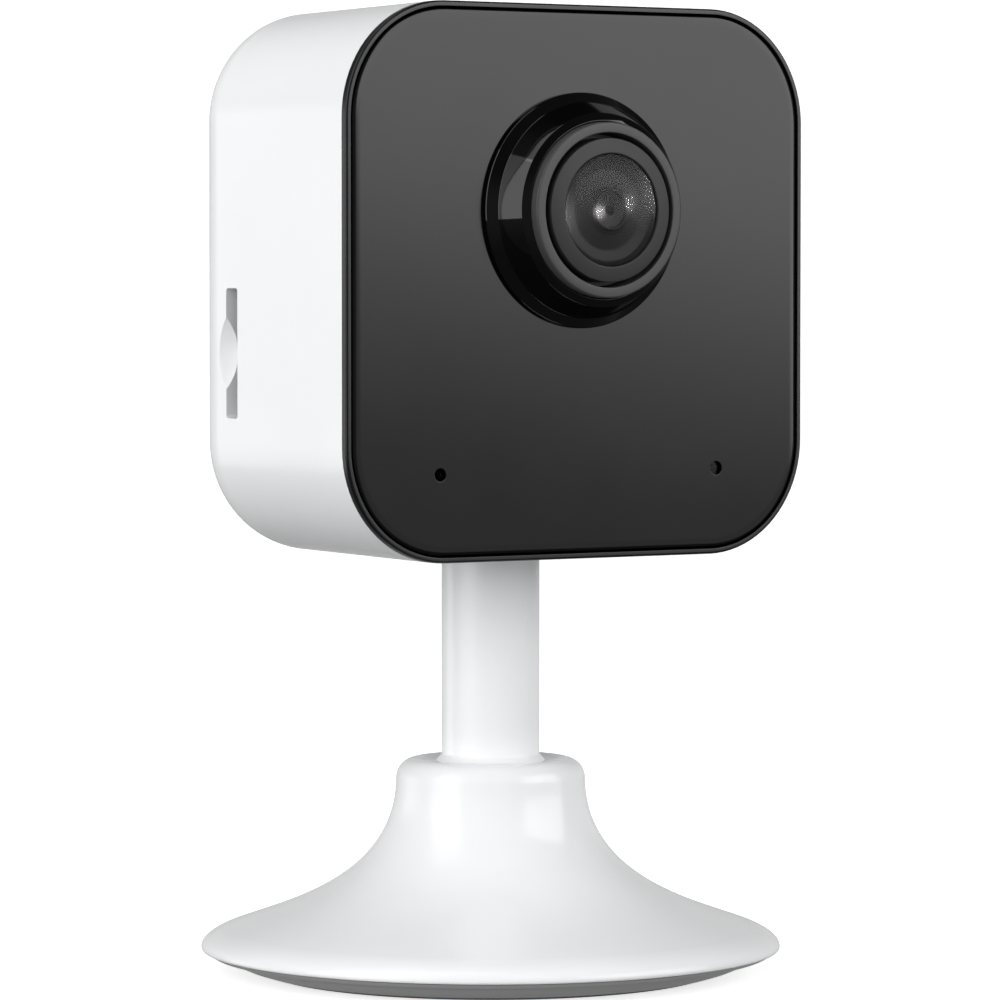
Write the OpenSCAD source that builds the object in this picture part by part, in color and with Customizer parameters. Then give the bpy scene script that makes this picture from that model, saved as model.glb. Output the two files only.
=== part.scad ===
// Compact indoor security camera: a cube head on a short stem and a flared, weighted base.
// Z is up, the lens looks along -Y, and the origin is the centre of the foot, on the stem's axis.

/* [Head] */
// Width and height of the head at its front edge
head_w = 59.5; // [56:0.5:72]
// Depth of the white casing, front edge to back face
head_d = 33.4; // [32:0.1:41]
// Radius of the head's upright corners
head_corner = 12.4; // [9:0.1:15]
// Radius of the soft edge around the back face
back_fillet = 8; // [5:0.5:9]
// Wall of the white casing
head_wall = 1.8; // [1.4:0.1:2.2]
// Distance from the casing's front edge back to the stem's axis
stem_setback = 16.5; // [15:0.1:20]

/* [Front] */
// From the head's outline in to the edge of the glossy panel
panel_inset = 0.85; // [0.8:0.05:2]
// Thickness of the glossy panel
panel_t = 1.2; // [1:0.1:1.6]
// How far the panel stands ahead of the casing's front edge
panel_out = 0.95; // [0.5:0.05:1.1]
// Height of the lens axis above the head's centre
lens_up = 7.7; // [5:0.1:8]
// Radius of the grey lens bezel
bezel_r = 9.4; // [9:0.1:11.4]
// Width of the glossy trim ring around the bezel
trim_w = 3.25; // [2.8:0.05:4]
// Radius of the front glass
glass_r = 6; // [5.2:0.1:7.2]
// How far the bezel stands ahead of the casing's front edge
lens_out = 6.4; // [5:0.1:8]
// Number of infrared lamps around the lens
lamp_count = 8; // [4:2:8]

/* [Stem] */
// Diameter of the stem
stem_d = 10.8; // [9:0.1:13]
// Length of stem that shows between the base and the head
stem_show = 22.75; // [18:0.25:30]
// Height of the tilt pivot above the head's underside
pivot_up = 9; // [8.5:0.1:12]
// How far the head can look down, in degrees
look_down = 25; // [10:1:30]

/* [Base] */
// Diameter of the base
base_d = 64; // [60:0.5:80]
// Height of the base
base_h = 23.6; // [21:0.1:30]
// Wall of the base shell
base_wall = 2; // [1.6:0.1:2.6]
// Radius of the neck at the top of the base
neck_r = 10.45; // [9.5:0.05:12.6]

/* [Card slot and rear] */
// Width of the memory card slot, front to back
card_slot_w = 2.4; // [2:0.1:3]
// Height of the memory card slot
card_slot_h = 14.1; // [13:0.1:16]
// Radius of the reset button
button_r = 2; // [1.6:0.1:2.4]
// Travel of the reset button
button_travel = 0.4; // [0.3:0.1:0.5]
// Pitch of the speaker holes
grille_pitch = 2.6; // [2.2:0.1:3]

/* [Hidden] */
$fn = 64;

// Clearances
fit = 0.06;          // radial running fit of pins and buttons
seat = 0.1;          // gap between pieces that seat in one another
play = 0.05;         // axial play of the washers
eps = 0.01;

// Base
foot_r = base_d / 2 - 7.1;
foot_t = 1;
cover_z = 0.35;      // underside of the bottom cover
screw_ring_r = foot_r - 3;
cover_top = 2.5;     // parting line between the cover and the shell
rim_z = 5.1;         // where the flare turns over into the rim
dip_z = base_h - 0.4;
dip_r = 6.2 + (stem_d - 10.8) / 2;
neck_round = 2.2;
collar_t = 6.2;      // thickness of the shell's top around the swivel
collar_low = dip_z - collar_t;
spigot_r = 3.5;
plate_t = 1;
washer_t = 0.5;
screw_head_t = 2;
weight_z = cover_top + 0.7;
weight_t = 3.6;
magnet_r = 7.5;
magnet_t = 3;

// Head
draft = 0.0145;      // taper of the casing's sides towards the back
front_y = -stem_setback;
back_y = front_y + head_d;
inner_back = back_y - head_wall;
head_low = base_h + stem_show;
head_z = head_low + head_w / 2;
in_half = head_w / 2 - head_wall;
in_corner = head_corner - head_wall;
rim_out = panel_out - 0.05;
panel_half = head_w / 2 - panel_inset;
panel_corner = head_corner - panel_inset;
panel_front = front_y - panel_out;
panel_back = panel_front + panel_t;
panel_gap = 0.25;    // shadow gap between the frame's rim and the panel
tape_t = 0.15;
plate_front = panel_back + tape_t;
frame_t = 1.2;
plate_back = plate_front + frame_t;
skirt_d = 3.5;
lip_t = 0.5;         // casing's lip that laps over the frame's flange
lip_d = 1.3;

// Boards, by the y of their faces
front_board_y = plate_back + 1.75;
board_t = 1;
main_y = front_y + 20.7;
main_t = 1.2;
main_back = main_y + main_t;
main_half = in_half - 3;
sensor_y = plate_back + 10.75;
post_x = in_half - 5.4;
post_top = head_z + in_half - 8.9;
post_low = head_z - in_half + 8.4;
post_r = 1.9;

// Lens
lens_z = head_z + lens_up;
bezel_y = front_y - lens_out;
bezel_in = bezel_r - 1.2;
barrel_r = bezel_in - 0.1;
neck_bore = glass_r;
lens_seat_y = plate_back - 0.7;
holder_back = plate_back + 6.25;
blade_travel = 6.5;
trim_r = bezel_r + trim_w;
lamp_ring_r = (trim_r + in_half - lens_up + 1.5) / 2;
sensor_post_x = trim_r + 2.1;

// Small holes in the front
hole_x = in_half - 9.9;
hole_z = head_z - in_half + 7.6;
mic_r = 1.4;
mic_ribbon_x = -hole_x + 1.5;

// Tilt pivot
stem_r = stem_d / 2;
pivot_z = head_low + pivot_up;
knuckle_r = stem_r + 0.65;
knuckle_half = stem_r + 0.15;
pivot_washer_t = 0.3;
slot_half = knuckle_half + pivot_washer_t + 2 * play;
slot_w = stem_r + 0.4;
well_r = knuckle_r + 0.5;
well_wall = 1.6;
cheek_t = 2.5;
cheek_out = slot_half + cheek_t;
pivot_r = 1.5;
well_screw_x = cheek_out + 3.6;
well_screw_y = [front_y + 10.5, main_back + 3.1];
ear_z = head_low + head_wall + 2.9;
ear_t = 1.5;

// Card slot and the rear face
card_y = main_back + 0.95;
card_z = head_z - 7.7;
socket_l = 14.7;
socket_t = 1.9;
socket_h = card_slot_h - 0.2;
socket_x = -(in_half - 0.65);
scoop_r = 7.1;
scoop_off = 4.2;
usb_x = cheek_out + 5.9;
usb_z = head_low + head_wall + 9.5;
io_t = 0.8;
button_x = cheek_out + 5.9;
button_z = usb_z + 10.6;
speaker_z = head_z + 6;
speaker_r = 10;
speaker_t = 4;
gasket_t = 0.5;

// ---------------------------------------------------------------- helpers

module box(low, high) {
    translate(low)
        cube([high.x - low.x, high.y - low.y, high.z - low.z]);
}

// Cylinder along +Y from y0 to y1, centred on x and z.
module ycyl(r, y0, y1, x, z) {
    translate([x, y0, z])
        rotate([-90, 0, 0])
            cylinder(r = r, h = y1 - y0);
}

// Cylinder along +X from x0 to x1, centred on y and z.
module xcyl(r, x0, x1, y, z) {
    translate([x0, y, z])
        rotate([0, 90, 0])
            cylinder(r = r, h = x1 - x0);
}

// Upright tube between two heights.
module ring(outer, inner, z0, z1) {
    difference() {
        translate([0, 0, z0])
            cylinder(r = outer, h = z1 - z0);
        translate([0, 0, z0 - 1])
            cylinder(r = inner, h = z1 - z0 + 2);
    }
}

// Solid turned about the lens axis: each point is [radius, y].
module lens_turned(points) {
    translate([0, 0, lens_z])
        rotate([-90, 0, 0])
            rotate_extrude()
                polygon(points);
}

// Puts a block's own depth axis along +Y and its middle on the head's centre line.
module in_head(y0) {
    translate([0, y0, head_z])
        rotate([-90, 0, 0])
            children();
}

// Outline of one side of a drafted block: depth upwards, the far edge rounded.
module side_profile(reach, depth, fillet, taper) {
    far = reach - taper * (depth - fillet);
    polygon([[0, 0], [reach, 0], [far, depth - fillet], [far - fillet, depth], [0, depth]]);
    intersection() {
        translate([far - fillet, depth - fillet])
            circle(r = fillet);
        translate([max(0, far - fillet), depth - fillet])
            square(fillet);
    }
}

// Square block with round corners, a soft far edge and drafted sides.
module soft_block(half, corner, depth, fillet, taper) {
    centre = half - corner;
    for (quarter = [0:3]) {
        rotate([0, 0, 90 * quarter])
            translate([centre, centre, 0])
                rotate_extrude(angle = 90)
                    side_profile(corner, depth, fillet, taper);
        rotate([0, 0, 90 * quarter])
            translate([0, centre, 0])
                rotate([90, 0, 0])
                    linear_extrude(2 * centre)
                        side_profile(half, depth, fillet, taper);
    }
}

// Square plate with round corners between two depths.
module round_plate(half, corner, y0, y1) {
    in_head(y0)
        linear_extrude(y1 - y0)
            rounded_square(half, corner);
}

module rounded_square(half, corner) {
    square([2 * half, 2 * (half - corner)], center = true);
    square([2 * (half - corner), 2 * half], center = true);
    for (sx = [-1, 1])
        for (sy = [-1, 1])
            translate([sx * (half - corner), sy * (half - corner)])
                circle(r = corner);
}

// Slot with small round corners through a wall that faces X: sized in y and z.
module rounded_slot_x(x0, x1, y, z, wide, high, r) {
    for (sy = [-1, 1])
        for (sz = [-1, 1])
            xcyl(r, x0, x1, y + sy * (wide / 2 - r), z + sz * (high / 2 - r));
    box([x0, y - wide / 2, z - high / 2 + r], [x1, y + wide / 2, z + high / 2 - r]);
    box([x0, y - wide / 2 + r, z - high / 2], [x1, y + wide / 2 - r, z + high / 2]);
}

// Opening with round ends through a wall that faces Y.
module rounded_slot_y(y0, y1, x, z, wide, high) {
    r = high / 2;
    for (sx = [-1, 1])
        ycyl(r, y0, y1, x + sx * (wide / 2 - r), z);
    box([x - wide / 2 + r, y0, z - r], [x + wide / 2 - r, y1, z + r]);
}

// Space that the stem sweeps in the head's own frame, from fully down to fully up.
module sweep_2d(half, r) {
    far = 45;
    circle(r = r);
    polygon([[-half * cos(look_down), half * sin(look_down)],
        [-half * cos(look_down) - far * sin(look_down), half * sin(look_down) - far * cos(look_down)],
        [far, -far], [far, half], [0, half]]);
}

module stem_sweep(wide, half, r) {
    translate([-wide, 0, pivot_z])
        rotate([90, 0, 90])
            linear_extrude(2 * wide)
                sweep_2d(half, r);
}

module at_posts() {
    for (x = [-post_x, post_x])
        for (z = [post_low, post_top])
            translate([x, 0, z])
                children();
}

module at_lamps() {
    for (i = [0:lamp_count - 1]) {
        turn = 360 / lamp_count * (i + 0.5);
        translate([lamp_ring_r * cos(turn), 0, lens_z + lamp_ring_r * sin(turn)])
            children();
    }
}

// Pan-head screw along +Y: the head first, then the shank.
module screw_y(shank_r, length, head_r, head_t) {
    ycyl(shank_r, -length, 0, 0, 0);
    ycyl(head_r, 0, head_t, 0, 0);
}

// ---------------------------------------------------------------- base

// Cubic curve through two end points with two handles.
function curve(a, b, c, d, t) =
    pow(1 - t, 3) * a + 3 * pow(1 - t, 2) * t * b + 3 * (1 - t) * t * t * c + pow(t, 3) * d;
function slope(a, b, c, d, t) =
    pow(1 - t, 2) * (b - a) + 2 * (1 - t) * t * (c - b) + t * t * (d - c);

base_r = base_d / 2;
flare_a = [neck_r, base_h - neck_round + 0.1];
flare_b = [neck_r, base_h * 0.445];
flare_c = [base_r - 9.45, rim_z + 2.3];
flare_d = [base_r - 3.1, rim_z];
FLARE_STEPS = 18;
function flare(t) = curve(flare_a, flare_b, flare_c, flare_d, t);
function inward(t) =
    let (s = slope(flare_a, flare_b, flare_c, flare_d, t), n = [-s.y, s.x] / norm(s))
    flare(t) - base_wall * n;
flare_points = [for (i = [0:FLARE_STEPS]) flare(i / FLARE_STEPS)];
cavity_points = [for (i = [0:FLARE_STEPS]) inward(i / FLARE_STEPS)];
neck_points = [for (a = [90:-15:15])
    [neck_r - neck_round + neck_round * cos(a), base_h - neck_round + neck_round * sin(a)]];
rim_points = [for (t = [0.25:0.25:1])
    curve(flare_d, [base_r - 1.7, rim_z - 0.45], [base_r, rim_z - 1.3], [base_r, cover_top + 0.35], t)];
cavity_r = base_r - 3.8;
weight_r = max([for (p = cavity_points) if (p.y > weight_z + weight_t + 0.3) p.x]);

module base_shell() {
    color("white")
        difference() {
            rotate_extrude()
                polygon(concat([[0, cover_top + 0.05], [0, dip_z], [dip_r, dip_z]], neck_points,
                    flare_points, rim_points, [[base_r - 0.1, cover_top + 0.05]]));
            difference() {
                rotate_extrude()
                    intersection() {
                        polygon(concat([[0, 0], [0, base_h]], cavity_points, [[cavity_r, 0]]));
                        square([base_r, collar_low]);
                    }
                at_cover_screws()
                    cylinder(r = 2.1, h = base_h);
            }
            cylinder(r = spigot_r + fit, h = base_h + 1);
            at_cover_screws()
                cylinder(r = 0.8, h = cover_top + 2.6);
        }
}

module at_cover_screws() {
    for (turn = [0:120:240])
        rotate([0, 0, turn])
            translate([screw_ring_r, 0, 0])
                children();
}

module base_cover() {
    color([0.5, 0.5, 0.5])
        difference() {
            rotate_extrude()
                polygon([[0, cover_z], [base_r - 6, cover_z], [base_r - 4.6, 0.78],
                    [base_r - 2.6, 1.63], [base_r - 1.1, 2.05], [base_r - 0.3, cover_top], [0, cover_top]]);
            translate([0, 0, -1])
                cylinder(r = foot_r + seat, h = foot_t + 1 + eps);
            at_cover_screws()
                cylinder(r = 1.1, h = cover_top + 1);
        }
}

module base_foot() {
    color([0.25, 0.25, 0.25])
        cylinder(r = foot_r, h = foot_t);
}

module base_weight() {
    color("silver")
        ring(weight_r, magnet_r + 1, weight_z, weight_z + weight_t);
}

module base_magnet() {
    color([0.6, 0.6, 0.62])
        translate([0, 0, cover_top])
            cylinder(r = magnet_r, h = magnet_t);
}

module cover_screws() {
    color("silver")
        at_cover_screws() {
            translate([0, 0, foot_t + seat])
                cylinder(r = 1, h = 0.8);
            translate([0, 0, foot_t + 0.8])
                cylinder(r = 0.8, h = cover_top + 0.6);
        }
}

module swivel_washer() {
    color("silver")
        ring(spigot_r + 3, spigot_r + seat, collar_low - washer_t, collar_low);
}

module swivel_plate() {
    low = collar_low - washer_t - play - plate_t;
    color("silver")
        ring(spigot_r + 3, 1.35, low, low + plate_t);
}

module swivel_screw() {
    plate_low = collar_low - washer_t - play - plate_t;
    color("silver") {
        translate([0, 0, plate_low - screw_head_t])
            cylinder(r = 3, h = screw_head_t);
        translate([0, 0, plate_low - eps])
            cylinder(r = 1.25, h = plate_t + 7);
    }
}

// ---------------------------------------------------------------- stem

module stem() {
    foot_z = dip_z + play;
    spigot_low = collar_low - washer_t - play;
    color("white")
        difference() {
            union() {
                translate([0, 0, foot_z])
                    cylinder(r = stem_r + 0.6, h = 0.1);
                translate([0, 0, foot_z + 0.1])
                    cylinder(r1 = stem_r + 0.6, r2 = stem_r, h = 0.7);
                translate([0, 0, foot_z])
                    cylinder(r = stem_r, h = pivot_z - foot_z);
                translate([0, 0, spigot_low])
                    cylinder(r = spigot_r, h = foot_z - spigot_low + 1);
                xcyl(knuckle_r, -knuckle_half, knuckle_half, 0, pivot_z);
            }
            xcyl(pivot_r + fit, -knuckle_half - 1, knuckle_half + 1, 0, pivot_z);
            translate([0, 0, spigot_low - 1])
                cylinder(r = 1.25, h = 8);
        }
}

// ---------------------------------------------------------------- head casing

module snap_boxes(low, high, grow, y0, y1) {
    for (quarter = [0:3])
        for (side = [-1, 1])
            in_head(0)
                rotate([0, 0, 90 * quarter])
                    translate([side * (in_half / 2) - 3 - grow, low, y0 - grow])
                        cube([6 + 2 * grow, high - low, y1 - y0 + 2 * grow]);
}

module rear_housing() {
    color("white")
        difference() {
            union() {
                difference() {
                    in_head(front_y)
                        soft_block(head_w / 2, head_corner, head_d, back_fillet, draft);
                    in_head(front_y - 1)
                        soft_block(in_half, in_corner, head_d - head_wall + 1, back_fillet - head_wall, draft);
                    round_plate(head_w / 2 - lip_t + play, head_corner - lip_t + play, front_y - 1,
                        front_y + lip_d + seat);
                }
                scoop_backing();
                for (x = [-well_screw_x, well_screw_x])
                    for (y = well_screw_y)
                        translate([x, y, head_low + head_wall / 2])
                            cylinder(r = 2.2, h = ear_z - head_low - head_wall / 2);
            }
            stem_sweep(slot_half, slot_w, well_r);
            rounded_slot_x(-head_w, -in_half + 1.6, card_y, card_z, card_slot_w, card_slot_h, 0.35);
            finger_scoop();
            rounded_slot_y(inner_back - 1, back_y + 1, usb_x, usb_z, 9, 3.8);
            ycyl(button_r + fit, inner_back - 1, back_y + 1, button_x, button_z);
            speaker_holes();
            box([-8, back_y - 0.15, pivot_z + slot_w + 3], [8, back_y + 1, pivot_z + slot_w + 9]);
            snap_boxes(in_half - 0.5, in_half + 0.6, 0.2, front_y + 1.6, front_y + 2.6);
            for (x = [-well_screw_x, well_screw_x])
                for (y = well_screw_y)
                    translate([x, y, ear_z - 2.6])
                        cylinder(r = 0.75, h = 4);
        }
}

module scoop_backing() {
    y0 = card_y + card_slot_w / 2 + 0.3;
    box([-in_half - 0.3, y0, card_z - 5.5], [-in_half + 1.4, y0 + 3, card_z + 5.5]);
}

// Thumb dish behind the card slot, open only towards the slot.
module finger_scoop() {
    slot_back = card_y + card_slot_w / 2;
    intersection() {
        translate([-head_w / 2 + 0.35 - scoop_off, slot_back - scoop_off, card_z])
            sphere(r = scoop_r);
        box([-head_w, card_y - card_slot_w / 2, card_z - 6.5], [-in_half + 1, slot_back + 4, card_z + 6.5]);
    }
}

module speaker_holes() {
    for (row = [-3:3])
        for (col = [-3:3])
            if (abs(row + col) <= 3)
                ycyl(0.65, inner_back - 1, back_y + 1, grille_pitch * (col + row / 2),
                    speaker_z + grille_pitch * 0.866 * row);
}

module front_frame() {
    color([0.08, 0.08, 0.08])
        difference() {
            union() {
                mirror([0, 1, 0])
                    in_head(-front_y)
                        soft_block(head_w / 2, head_corner, rim_out, 0.55 * rim_out, 0);
                round_plate(head_w / 2 - lip_t, head_corner - lip_t, front_y - eps, front_y + lip_d);
                round_plate(in_half - seat, in_corner - seat, front_y, front_y + skirt_d);
                snap_boxes(in_half - 1, in_half + 0.35, 0, front_y + 1.6, front_y + 2.6);
            }
            round_plate(panel_half + panel_gap, panel_corner + panel_gap, front_y - 2, plate_front);
            difference() {
                round_plate(in_half - seat - 1.2, in_corner - seat - 1.2, plate_back, front_y + 9);
                at_posts()
                    ycyl(post_r, plate_back - 1, front_y + 9, 0, 0);
            }
            ycyl(trim_r - 2.6, front_y - 2, plate_back + 1, 0, lens_z);
            at_lamps()
                ycyl(2.5, front_y - 2, plate_back + 1, 0, 0);
            ycyl(1.1, front_y - 2, plate_back + 1, -hole_x, hole_z);
            ycyl(1.1, front_y - 2, plate_back + 1, hole_x, hole_z);
        }
    color([0.08, 0.08, 0.08])
        at_posts()
            difference() {
                union() {
                    ycyl(post_r, plate_back - 0.5, main_y, 0, 0);
                    ycyl(post_r + 0.5, plate_back - 0.5, front_board_y, 0, 0);
                }
                ycyl(0.8, main_y - 6, main_y + 1, 0, 0);
            }
    color([0.08, 0.08, 0.08])
        for (x = [-sensor_post_x, sensor_post_x])
            difference() {
                ycyl(2, plate_back - 0.5, holder_back, x, lens_z);
                ycyl(0.7, holder_back - 5, holder_back + 1, x, lens_z);
            }
}

module front_panel() {
    color([0.02, 0.02, 0.02])
        difference() {
            mirror([0, 1, 0])
                in_head(-panel_back)
                    soft_block(panel_half, panel_corner, panel_t, 0.4, 0);
            ycyl(trim_r - 0.6, panel_front - 1, panel_back + 1, 0, lens_z);
            ycyl(0.7, panel_front - 1, panel_back + 1, -hole_x, hole_z);
            ycyl(0.75, panel_front - 1, panel_back + 1, hole_x, hole_z);
        }
}

module panel_tape() {
    color([0.15, 0.15, 0.15])
        difference() {
            round_plate(panel_half - 0.3, panel_corner - 0.3, panel_back, plate_front);
            round_plate(panel_half - 3, panel_corner - 3, panel_back - 1, plate_front + 1);
        }
}

// ---------------------------------------------------------------- tilt pivot

module pivot_well() {
    color([0.1, 0.1, 0.1])
        difference() {
            union() {
                intersection() {
                    stem_sweep(cheek_out, slot_w + well_wall, well_r + well_wall);
                    in_head(front_y + 0.5)
                        soft_block(in_half - seat, in_corner - seat, head_d - head_wall - 0.5 - seat,
                            back_fillet - head_wall, draft);
                }
                for (side = [-1, 1])
                    for (y = well_screw_y)
                        well_ear(side, y);
            }
            stem_sweep(slot_half, slot_w, well_r);
            xcyl(pivot_r + fit, -cheek_out - 1, cheek_out + 1, 0, pivot_z);
            for (x = [-well_screw_x, well_screw_x])
                for (y = well_screw_y)
                    translate([x, y, ear_z - 1])
                        cylinder(r = 1.05, h = ear_t + 2);
        }
}

module well_ear(side, y) {
    near = side * (cheek_out - 1);
    far = side * well_screw_x;
    translate([far, y, ear_z])
        cylinder(r = 2.2, h = ear_t);
    box([min(near, far), y - 2, ear_z], [max(near, far), y + 2, ear_z + ear_t]);
}

module pivot_screw() {
    color("silver") {
        xcyl(pivot_r, -cheek_out - eps, cheek_out + 2.6, 0, pivot_z);
        xcyl(2.8, -cheek_out - 1.8, -cheek_out, 0, pivot_z);
    }
}

module pivot_nut() {
    color("silver")
        difference() {
            translate([cheek_out, 0, pivot_z])
                rotate([0, 90, 0])
                    cylinder(r = 3, h = 2.2, $fn = 6);
            xcyl(pivot_r + eps, cheek_out - 1, cheek_out + 4, 0, pivot_z);
        }
}

module friction_washers() {
    color("silver")
        for (x = [-knuckle_half - play - pivot_washer_t, knuckle_half + play])
            difference() {
                xcyl(4.5, x, x + pivot_washer_t, 0, pivot_z);
                xcyl(pivot_r + fit, x - 1, x + 2, 0, pivot_z);
            }
}

module well_screws() {
    color("silver")
        for (x = [-well_screw_x, well_screw_x])
            for (y = well_screw_y) {
                translate([x, y, ear_z - 2.2])
                    cylinder(r = 0.75, h = 2.2 + ear_t + eps);
                translate([x, y, ear_z + ear_t])
                    cylinder(r = 1.8, h = 1.1);
            }
}

// ---------------------------------------------------------------- lens

module lens_trim_ring() {
    bore = bezel_r + 0.08;
    skirt = trim_r - 0.7;
    color([0.02, 0.02, 0.02])
        lens_turned([[bore, plate_front], [skirt, plate_front], [skirt, panel_front],
            [trim_r, panel_front], [trim_r, panel_front - 0.45], [trim_r - 0.35, panel_front - 0.8],
            [trim_r - 1.1, panel_front - 1.35], [bezel_r + 0.95, bezel_y + 1.45], [bore, bezel_y + 1]]);
}

module lens_bezel() {
    color([0.45, 0.45, 0.45])
        lens_turned([[bezel_in, bezel_y], [bezel_r - 0.15, bezel_y + 0.1], [bezel_r, bezel_y + 0.24],
            [bezel_r, plate_front], [bezel_in, plate_front]]);
}

module lens_barrel() {
    color([0.3, 0.3, 0.3])
        lens_turned([[neck_bore, bezel_y - 0.3], [barrel_r - 0.4, bezel_y - 0.05],
            [barrel_r - 0.4, bezel_y + 0.9], [barrel_r, bezel_y + 0.9], [barrel_r, lens_seat_y],
            [neck_bore, lens_seat_y], [neck_bore, holder_back - 0.3], [glass_r - 1, holder_back - 0.3],
            [glass_r - 1, bezel_y + 2.2], [neck_bore - 0.05, bezel_y + 2.2]]);
}

module lens_baffle() {
    color([0.05, 0.05, 0.05])
        lens_turned([[glass_r - 0.1, bezel_y + 0.9], [glass_r - 0.1, bezel_y + 2.2],
            [glass_r - 1.1, bezel_y + 2.2], [glass_r - 1.1, bezel_y + 3.2], [2.6, bezel_y + 3.2],
            [2.6, bezel_y + 2.6], [3.6, bezel_y + 2.2], [3.6, bezel_y + 1.8], [4.8, bezel_y + 1.4]]);
}

module front_glass() {
    glass_bow = 20;
    edge_y = bezel_y - 0.15;
    reach = glass_r - 0.08;
    sag = glass_bow - sqrt(glass_bow * glass_bow - reach * reach);
    color([0.15, 0.17, 0.2])
        intersection() {
            translate([0, edge_y - sag + glass_bow, lens_z])
                sphere(r = glass_bow, $fn = 400);
            ycyl(reach, edge_y - 2, edge_y + 1, 0, lens_z);
        }
}

module inner_lenses() {
    color([0.5, 0.55, 0.6])
        for (y = [bezel_y + 4, bezel_y + 7.5, bezel_y + 11])
            ycyl(glass_r - 1.1, y, y + 1.6, 0, lens_z);
}

module lens_holder() {
    color([0.1, 0.1, 0.1])
        difference() {
            union() {
                ycyl(glass_r + 2.4, plate_back, holder_back, 0, lens_z);
                box([-sensor_post_x + 2.5, holder_back - 1.5, lens_z - 7],
                    [sensor_post_x - 2.5, holder_back, lens_z + 7]);
            }
            ycyl(neck_bore + fit, plate_back - 1, holder_back + 1, 0, lens_z);
        }
}

module ir_cut_housing() {
    gap = 0.2;
    blade_y = holder_back + 1.3;
    color([0.12, 0.12, 0.12])
        difference() {
            union() {
                box([-13, holder_back, lens_z - 7.5], [13, sensor_y, lens_z + 7.5]);
                for (x = [-sensor_post_x, sensor_post_x]) {
                    ycyl(2.6, holder_back, sensor_y, x, lens_z);
                    box([min(x, 0), holder_back, lens_z - 2], [max(x, 0), sensor_y, lens_z + 2]);
                }
            }
            ycyl(3.2, holder_back - 1, sensor_y + 1, 0, lens_z);
            box([-11.4, blade_y - gap, lens_z - 4.2 - gap], [11.4, blade_y + 0.8 + gap, lens_z + 4.2 + gap]);
            box([-4.5, sensor_y - 1.4, lens_z - 4], [4.5, sensor_y + 1, lens_z + 4]);
            box([-6, holder_back + 0.6, lens_z + 4.6], [6, sensor_y + 1, lens_z + 6.6]);
            for (x = [-sensor_post_x, sensor_post_x])
                ycyl(0.95, holder_back - 1, sensor_y + 1, x, lens_z);
        }
}

module ir_cut_blade() {
    blade_y = holder_back + 1.3;
    color([0.2, 0.2, 0.2])
        difference() {
            box([-blade_travel / 2 - 7.5 + 0.2, blade_y, lens_z - 4.1],
                [blade_travel / 2 + 1.2, blade_y + 0.8, lens_z + 4.1]);
            ycyl(2.9, blade_y - 1, blade_y + 2, 0, lens_z);
            ycyl(2.9, blade_y - 1, blade_y + 2, -blade_travel, lens_z);
        }
}

module ir_filter() {
    color([0.4, 0.7, 0.7, 0.6])
        for (x = [0, -blade_travel])
            ycyl(2.9, holder_back + 1.45, holder_back + 1.95, x, lens_z);
}

module ir_cut_coil() {
    color([0.7, 0.4, 0.2])
        xcyl(0.9, -5.5, 5.5, sensor_y - 1.3, lens_z + 5.6);
}

module image_sensor() {
    color([0.2, 0.25, 0.3])
        box([-4, sensor_y - 1.2, lens_z - 3.4], [4, sensor_y, lens_z + 3.4]);
}

module sensor_board() {
    color([0.05, 0.3, 0.12])
        difference() {
            union() {
                box([-sensor_post_x - 2.4, sensor_y, lens_z - 7.5], [sensor_post_x + 2.4, sensor_y + board_t, lens_z + 7.5]);
                box([-4.6, sensor_y + board_t - eps, lens_z - 7.4], [4.6, sensor_y + board_t + 1.3, lens_z - 4.6]);
            }
            for (x = [-sensor_post_x, sensor_post_x])
                ycyl(0.95, sensor_y - 1, sensor_y + board_t + 1, x, lens_z);
        }
}

module sensor_screws() {
    color("silver")
        for (x = [-sensor_post_x, sensor_post_x])
            translate([x, sensor_y + board_t, lens_z])
                screw_y(0.7, sensor_y + board_t - holder_back + 4, 1.5, 1);
}

// ---------------------------------------------------------------- electronics

module front_board() {
    half = in_half - 2.6;
    color([0.05, 0.3, 0.12])
        difference() {
            union() {
                round_plate(half, in_corner - 2.6, front_board_y, front_board_y + board_t);
                box([mic_ribbon_x - 2.5, front_board_y + board_t - eps, head_z - 20.4],
                    [mic_ribbon_x + 2.5, front_board_y + board_t + 1.3, head_z - 17.2]);
            }
            ycyl(glass_r + 3.6, front_board_y - 1, front_board_y + board_t + 1, 0, lens_z);
            at_posts()
                ycyl(post_r + seat, front_board_y - 1, front_board_y + board_t + 1, 0, 0);
            for (x = [-sensor_post_x, sensor_post_x])
                ycyl(2.3, front_board_y - 1, front_board_y + board_t + 1, x, lens_z);
        }
}

module ir_lamps() {
    color([0.8, 0.75, 0.6])
        at_lamps()
            box([-1.6, front_board_y - 1.4, -1.6], [1.6, front_board_y, 1.6]);
}

module microphone() {
    color("silver")
        ycyl(mic_r, front_board_y - 1.2, front_board_y, -hole_x, hole_z);
}

module mic_boot() {
    color([0.15, 0.15, 0.15])
        difference() {
            ycyl(mic_r + 0.7, plate_back, front_board_y, -hole_x, hole_z);
            ycyl(mic_r, front_board_y - 1.2, front_board_y + 1, -hole_x, hole_z);
            ycyl(0.6, plate_back - 1, front_board_y, -hole_x, hole_z);
        }
}

module status_lamp() {
    color([0.9, 0.9, 0.8])
        box([hole_x - 0.8, front_board_y - 0.7, hole_z - 0.5], [hole_x + 0.8, front_board_y, hole_z + 0.5]);
}

module light_pipe() {
    color([0.8, 0.85, 0.9, 0.6]) {
        ycyl(0.7, panel_front + 0.5, plate_back + eps, hole_x, hole_z);
        ycyl(1.7, plate_back, front_board_y - 0.8, hole_x, hole_z);
    }
}

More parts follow.
